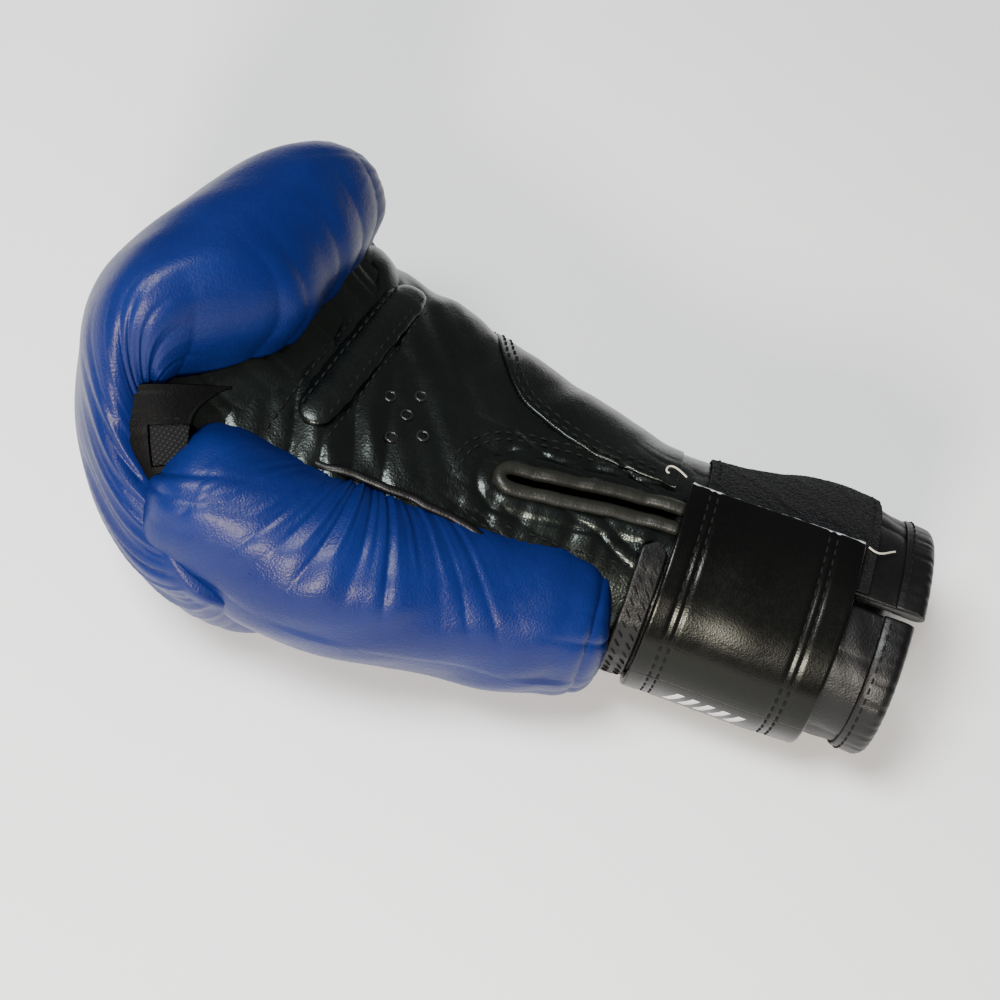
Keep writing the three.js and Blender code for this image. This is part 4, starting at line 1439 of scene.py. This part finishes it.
@dataclass
class Cuff:
    """The cuff: padded wall and flap, rolled bindings, linings, loop panel and front band.

    Spans are in degrees round the oval, from the palm side towards the thumb.
    """

    pad: float = 3.8
    wall: tuple[float, float] = (18.0, 250.0)
    flap: tuple[float, float] = (-109.2, 12.0)
    ends: tuple[float, float] = (5.5, 3.0)

    def wrinkles(self, seed: int) -> Callable[[np.ndarray, np.ndarray], np.ndarray]:
        """Soft folds of the wall's leather, mostly along the forearm.

        Args:
            seed: picks the folds.

        Returns:
            A function of x and degrees that gives heights in mm.
        """
        def relief(x: np.ndarray, d: np.ndarray) -> np.ndarray:
            """Height over the oval at x and d degrees, mm."""
            lengthways = 0.55 * gathers(d * 0.66 + 3 * np.sin(x / 17), 16.0, seed)
            return lengthways + 0.3 * ripple(x + 0.3 * d, 22, seed + 1)

        return relief

    def walls(self, f: Finishes) -> None:
        """The padded wall and the padded little-finger flap.

        Args:
            f: the glove's finishes.
        """
        for name, body, span, seed, end, nodes in (
                ("cuff_wall_leather", Body.HAND, self.wall, 91, self.ends[0], ("cuff_wall",)),
                ("flap_leather", Body.FLAP, self.flap, 95, self.ends[1], ("pinky_flap",))):
            folds = self.wrinkles(seed)
            piece = band(name, 1.2 + end, 87.6, span[0], span[1], -self.pad, -0.1, folds, 90, 170)
            dress(piece, f.trim, body, nodes)

    def bindings(self, f: Finishes) -> None:
        """Rolled binding round each open end: 9 mm up both faces, with a half circle between them.

        Args:
            f: the glove's finishes.
        """
        for name, body, span, end, nodes in (
                ("cuff_wall_binding_roll", Body.HAND, self.wall, self.ends[0], ("cuff_wall_binding",)),
                ("flap_binding_roll", Body.FLAP, self.flap, self.ends[1], ("pinky_flap_binding",))):
            d = np.linspace(span[0], span[1], 190)
            t = np.radians(np.linspace(-92, 92, 17))
            x = np.concatenate([[10.0, 9.4, 7.0, 5.0], 2.9 - 3.4 * np.cos(t), [5.0, 7.0, 9.4, 10.0]])
            g = np.concatenate([[0.25, 0.75, 0.9, 0.95], -2.2 + 3.2 * np.sin(-t), [-5.3, -5.1, -4.9, -4.3]])
            puff = 0.22 * ripple(d, 7.0, 97)[:, None] * np.exp(-(x / 6) ** 2)[None, :]
            inner_x = np.concatenate([[9.6], 3.4 - 2.2 * np.cos(t[::-2]), [9.6]])
            inner_g = np.concatenate([[-4.0], -2.2 + 2.2 * np.sin(t[::2]), [0.0]])
            xs = np.concatenate([x, inner_x]) + end
            gs = np.concatenate([g[None, :] + puff, np.repeat(inner_g[None, :], 190, 0)], 1)
            loops = ring(np.repeat(xs[None, :], 190, 0), np.repeat(d[:, None], len(xs), 1), gs)
            dress(shell(name, loops), f.trim, body, nodes)
            rows = [ring_row(7.6 + end, (span[0] + 2, span[1] - 2), 1.0)]
            dress(stitches(name.replace("_roll", "_stitches"), rows, 2.4, 3.6, 0.36), f.black_thread, body)

    def lining(self, f: Finishes) -> None:
        """Cloth lining: a sheet inside the wall and one inside the flap.

        Args:
            f: the glove's finishes.
        """
        for name, body, span, nodes in (
                ("cuff_wall_lining", Body.HAND, self.wall, ("cuff_wall_liner",)),
                ("flap_lining", Body.FLAP, self.flap, ("pinky_flap_liner",))):
            under, over = -self.pad - 1.5, -self.pad - 0.4
            piece = band(name, 12.0, 88.0, span[0] + 0.5, span[1] - 0.5, under, over, None, 50, 100)
            dress(piece, f.lining, body, nodes)

    def pocket(self, f: Finishes) -> None:
        """The hand's own pocket: rounded sections square to a middle line, and a slightly smaller inner skin.

        Args:
            f: the glove's finishes.
        """
        space = np.array(POCKET_ROWS, float)
        u = np.linspace(0, 1, 90)
        row = through(u, chord(space[:, :2]), space)
        a = np.linspace(0, 2 * np.pi, 60, endpoint=False)
        crumple = 1 + 0.04 * ripple(a * 20, 9, 99)[None, :]
        across = signed_power(np.cos(a), 0.87)[None, :] * row[:, 2, None] * crumple
        high = signed_power(np.sin(a), 0.87)[None, :] * row[:, 3, None] * crumple
        along = np.gradient(row[:, :2], axis=0)
        along /= np.linalg.norm(along, axis=1, keepdims=True)
        middle = -6 * eased((row[:, 0] - 88) / 60)
        x = row[:, 0, None] - along[:, 1, None] * high
        z = row[:, 1, None] + along[:, 0, None] * high
        outer = np.stack([x, middle[:, None] + across, z], -1)
        mid = np.stack([row[:, 0], middle, row[:, 1]], -1)[:, None]
        inner = mid + (outer - mid) * 0.955
        loops = np.concatenate([outer, inner[::-1][1:]], 0)
        points = loops.reshape(-1, 3)
        rows, columns = loops.shape[:2]
        faces = grid_faces(rows, columns, True)
        j = np.arange(columns)
        k = (j + 1) % columns
        mouth = np.stack([(rows - 1) * columns + j, j, k, (rows - 1) * columns + k], -1)
        closed = turned_out(points, np.concatenate([faces, mouth], 0))
        piece = make_mesh("hand_pocket_lining", points, closed)
        dress_bending(piece, f.lining, (Body.HAND, Body.FINGERS), *KNUCKLES, "hand_liner",
                      ("hand_liner", "finger_liner"))

    def closure(self, f: Finishes) -> None:
        """The fuzzy loop panel on the flap, sewn along three edges.

        Args:
            f: the glove's finishes.
        """

        def fuzz(x: np.ndarray, d: np.ndarray) -> np.ndarray:
            """Uneven pile over the oval, mm."""
            rng = np.random.default_rng(5)
            return 0.30 * rng.random(x.shape) + 0.25 * ripple(x + d, 13, 101)

        piece = band("loop_panel_pile", 22.5, 80, -95, 11, 0.75, 1.75, fuzz, 150, 260)
        dress(piece, f.pile, Body.FLAP, ("loop_panel",))
        low, high, far = 25.5, 77.5, -92.5
        rows = [ring_row((low, high), far, 2.0), ring_row(low, (far, 9), 2.0), ring_row(high, (far, 9), 2.0)]
        dress(stitches("loop_panel_stitches", rows, 2.5, 3.7, 0.36), f.black_thread, Body.FLAP)

    def front(self, f: Finishes) -> None:
        """The band that closes the cuff's front under the thumb, with its leaning stitches.

        Args:
            f: the glove's finishes.
        """

        def waves(x: np.ndarray, d: np.ndarray) -> np.ndarray:
            """Slow waves along the band, the same at every x, mm."""
            return 0.25 * ripple(d * 0.7, 12, 103)

        piece = band("front_band_leather", 86.4, 95.2, 22, 119, 0.6, 2.3, waves, 24, 130, 4.0)
        dress(piece, f.trim, Body.HAND, ("cuff_front_band",))
        rows = [ring_row(92.6, (27, 114), 2.35), ring_row(88.8, (27, 114), 2.35)]
        dress(stitches("front_band_stitches", rows, 2.6, 3.9, 0.42, 2.0), f.black_thread, Body.HAND)

    def build(self, f: Finishes) -> None:
        """Builds and dresses the cuff.

        Args:
            f: the glove's finishes.
        """
        self.walls(f)
        self.bindings(f)
        self.lining(f)
        self.pocket(f)
        self.closure(f)
        self.front(f)


@dataclass
class Strap:
    """The closing strap: one band in two lengths that meet at 90 degrees.

    Angles are in degrees round the cuff's oval; each bend runs from its first angle to its second.
    """

    x0: float = 27.0
    x1: float = 86.0
    under: float = 3.1
    top: float = 5.0
    angles: tuple[float, float, float] = (-10.0, 90.0, 156.0)
    tip_bend: tuple[float, float] = (60.0, 50.0)
    root_bend: tuple[float, float] = (132.0, 120.0)
    sewn_rows: tuple[float, ...] = (36.5, 39.2, 76.6, 79.2)

    def creases(self, x: np.ndarray, d: np.ndarray) -> np.ndarray:
        """Shallow creases across the strap where it bends, and a slightly puffed middle.

        Args:
            x: mm from the cuff's end.
            d: degrees round the cuff.

        Returns:
            Heights over the strap's plain face, mm.
        """
        puff = 0.35 * np.sin(np.pi * np.clip((x - self.x0) / (self.x1 - self.x0), 0, 1))
        crease = 0.13 * gathers(d * 0.66 + 2.2 * ripple(x, 34, 111), 9.0, 112)
        crease = crease * eased(20 + d, 0, 30) * (1 - eased(d, 40, 75))
        wave = 0.16 * ripple(x * 0.9 + d * 0.2, 46, 113)
        groove = -0.28 * sum(np.exp(-(((x - at) / 0.8) ** 2)) for at in self.sewn_rows)
        return puff + crease + wave + groove

    def middle_at(self, degrees: float) -> np.ndarray:
        """Place on the strap's middle line at an angle, for its bends."""
        return ring(np.array(56.0), np.array(degrees), 4.0)

    def lengths(self, f: Finishes) -> None:
        """The free length, from the tip to the middle angle, and the sewn length, from the middle angle to the
        root.

        Args:
            f: the glove's finishes.
        """
        tip, middle, root = self.angles
        thick = (self.under, self.top)
        free = band("strap_free_length", self.x0, self.x1, tip, middle, *thick, self.creases, 110, 210)
        sewn = band("strap_sewn_length", self.x0, self.x1, middle, root, *thick, self.creases, 110, 130)
        at_tip, at_root = ([self.middle_at(d) for d in bend] for bend in (self.tip_bend, self.root_bend))
        dress_bending(free, f.strap, (Body.STRAP, Body.STRAP_END), *at_tip, "strap_tip", ("strap_tip",))
        dress_bending(sewn, f.strap, (Body.HAND, Body.STRAP), *at_root, "strap_root",
                      ("strap_root", "strap_side"))

    def tip_pieces(self, f: Finishes) -> None:
        """The hook panel under the tip, and the pale raw edge along the tip's end.

        Args:
            f: the glove's finishes.
        """
        tip = self.angles[0]
        hooks = band("hook_panel_pile", self.x0 + 5, 76, -8.5, 9, 1.95, 2.95, None, 60, 40)
        dress(hooks, f.hooks, Body.STRAP_END, ("hook_panel",))
        raw = ring(np.linspace(self.x0 + 0.6, self.x1 - 0.6, 90), np.full(90, tip - 0.15), self.top - 0.35)
        x = raw[:, 0]
        raw = raw + np.stack([0 * x, 0.12 * ripple(x, 5, 115), 0.12 * ripple(x, 7, 116)], -1)
        dress(tube("strap_raw_edge", raw, 0.45, 8, 0.9), f.raw_edge, Body.STRAP_END)

    def sewing(self, f: Finishes) -> None:
        """Four rows of stitches on each stretch between the bends, following the strap's puffed face.

        Args:
            f: the glove's finishes.
        """
        tip, _, root = self.angles
        stretches = (("free", Body.STRAP_END, (tip + 2, self.tip_bend[1] - 1)),
                     ("middle", Body.STRAP, (self.tip_bend[0] + 1, self.root_bend[1] - 1)),
                     ("sewn", Body.HAND, (self.root_bend[0] + 1, root - 2)))
        for label, body, span in stretches:
            rows = []
            for x in self.sewn_rows:
                puff = 0.33 * math.sin(math.pi * (x - self.x0) / (self.x1 - self.x0))
                rows.append(ring_row(x, span, self.top + 0.02 + puff - 0.25))
            dress(stitches(f"strap_stitches_{label}", rows, 2.7, 3.9, 0.42), f.black_thread, body)

    def build(self, f: Finishes) -> None:
        """Builds and dresses the strap.

        Args:
            f: the glove's finishes.
        """
        self.lengths(f)
        self.tip_pieces(f)
        self.sewing(f)
        self.printed_bars(f)
        self.loose_threads(f)

    def printed_bars(self, f: Finishes) -> None:
        """A plain row of five slanted bars: a sheet of ink 0.12 mm thick on the strap's face.

        Args:
            f: the glove's finishes.
        """
        points, faces = [], []
        for k in range(5):
            x = 47.0 + 5.2 * k
            u, v = np.meshgrid(np.linspace(0, 1, 4), np.linspace(0, 1, 12), indexing="ij")
            xx = x + 2.6 * u + 4.0 * v - 2.0
            dd = 97.0 + 13.0 * v
            q = ring(xx, dd, self.top + 0.06 + self.creases(xx, dd))
            base = len(points) * q.shape[0] * q.shape[1]
            points.append(q.reshape(-1, 3))
            faces.append(grid_faces(4, 12, False, base))
        p = np.concatenate(points, 0)
        g = np.concatenate(faces, 0)
        a = p[g[0]]
        outward = np.dot(np.cross(a[1] - a[0], a[3] - a[0]), a[0] - np.array([56.0, 0.0, 36.0]))
        piece = make_mesh("strap_printed_bars", p, g if outward > 0 else g[:, ::-1])
        solid = piece.modifiers.new("ink", "SOLIDIFY")
        solid.thickness = 0.00012
        solid.offset = -1.0
        dress(piece, f.ink, Body.STRAP)

    def loose_threads(self, f: Finishes) -> None:
        """Short pale thread ends at the two corners of the strap's tip.

        Args:
            f: the glove's finishes.
        """
        s = np.linspace(0, 1, 40)
        a = ring(88.0 + 3.5 * np.sin(3.1 * s) + 5.5 * s, -13.0 - 4.0 * s - 3.0 * np.sin(5 * s), 4.2 - 1.6 * s)
        dress(tube("loose_thread_1", a, 0.33, 6), f.pale_thread, Body.HAND)
        b = ring(26.0 - 9.0 * s, -10.5 - 3.5 * s + 2.0 * np.sin(4 * s), 3.6 - 1.4 * s)
        dress(tube("loose_thread_2", b, 0.33, 6), f.pale_thread, Body.STRAP_END)


# ------------------------------------------------------------------------------- studio
@dataclass
class Studio:
    """Pale floor, soft light and the camera."""

    target: tuple[float, float, float] = (142.0, 6.0, 50.0)
    elevation: float = 54.0
    turn: float = 1.0
    roll: float = 18.0
    distance: float = 0.7
    lens: float = 78.1

    def camera(self) -> None:
        """Camera at the viewing angle, rolled about its own axis."""
        e, a = math.radians(self.elevation), math.radians(self.turn)
        back = Vector((-math.sin(a) * math.cos(e), math.cos(a) * math.cos(e), math.sin(e)))
        data = bpy.data.cameras.new("camera")
        data.sensor_width, data.lens = 36.0, self.lens
        data.clip_start, data.clip_end = 0.01, 20.0
        cam = bpy.data.objects.new("camera", data)
        aim = Vector(np.array(self.target) / 1000.0 + ORIGIN)
        cam.location = aim + back * self.distance
        cam.rotation_mode = "QUATERNION"
        roll = Quaternion((0, 0, 1), math.radians(self.roll))
        cam.rotation_quaternion = (-back).to_track_quat("-Z", "Y") @ roll
        bpy.context.scene.collection.objects.link(cam)
        bpy.context.scene.camera = cam

    def light(self, name: str, place: tuple[float, float, float], size: float, power: float,
              colour: tuple[float, float, float]) -> None:
        """One square soft light aimed at the glove's middle.

        Args:
            name: the lamp's name.
            place: metres in the frame.
            size: side of the square, metres.
            power: watts.
            colour: red, green and blue.
        """
        data = bpy.data.lights.new(name, "AREA")
        data.size, data.energy, data.color = size, power, colour
        lamp = bpy.data.objects.new(name, data)
        lamp.location = place
        lamp.rotation_mode = "QUATERNION"
        lamp.rotation_quaternion = (Vector((0, 0, 0.05)) - Vector(place)).to_track_quat("-Z", "Y")
        bpy.context.scene.collection.objects.link(lamp)

    def build(self) -> None:
        """Floor, lights and world."""
        line = np.linspace(-6000, 6000, 3)
        grid = np.stack([*np.meshgrid(line, line, indexing="ij"), np.zeros((3, 3))], -1)
        grid = grid - np.array([0, 0, ORIGIN[2] * 1000.0])
        floor = make_mesh("floor", grid, grid_faces(3, 3, False))
        r = Recipe("floor_paint")
        grain = r.noise(40.0, 2.0)
        r.set(Base_Color=r.blend(grain, (0.94, 0.94, 0.94), (0.96, 0.96, 0.96)), Roughness=0.9,
              Specular_IOR_Level=0.1)
        floor.data.materials.append(r.material)
        self.light("key", (0.02, 0.98, 0.55), 0.20, 18.5, (1.0, 0.92, 0.82))
        self.light("sky", (0.55, 0.40, 1.45), 0.6, 42.0, (0.96, 0.98, 1.0))
        world = bpy.data.worlds.new("studio")
        world.use_nodes = True
        background = world.node_tree.nodes["Background"]
        background.inputs["Color"].default_value = (1.0, 1.0, 1.0, 1.0)
        background.inputs["Strength"].default_value = 0.22
        bpy.context.scene.world = world


def main() -> None:
    """Builds the studio and every part of the glove in order."""
    logging.basicConfig(level=logging.INFO, format="%(message)s")
    studio = Studio()
    studio.camera()
    studio.build()
    finishes = Finishes()
    FistPadding().build(finishes)
    Palm().build(finishes)
    Thumb().build(finishes)
    Gusset().build(finishes)
    Cuff().build(finishes)
    Strap().build(finishes)


if __name__ == "__main__":
    main()
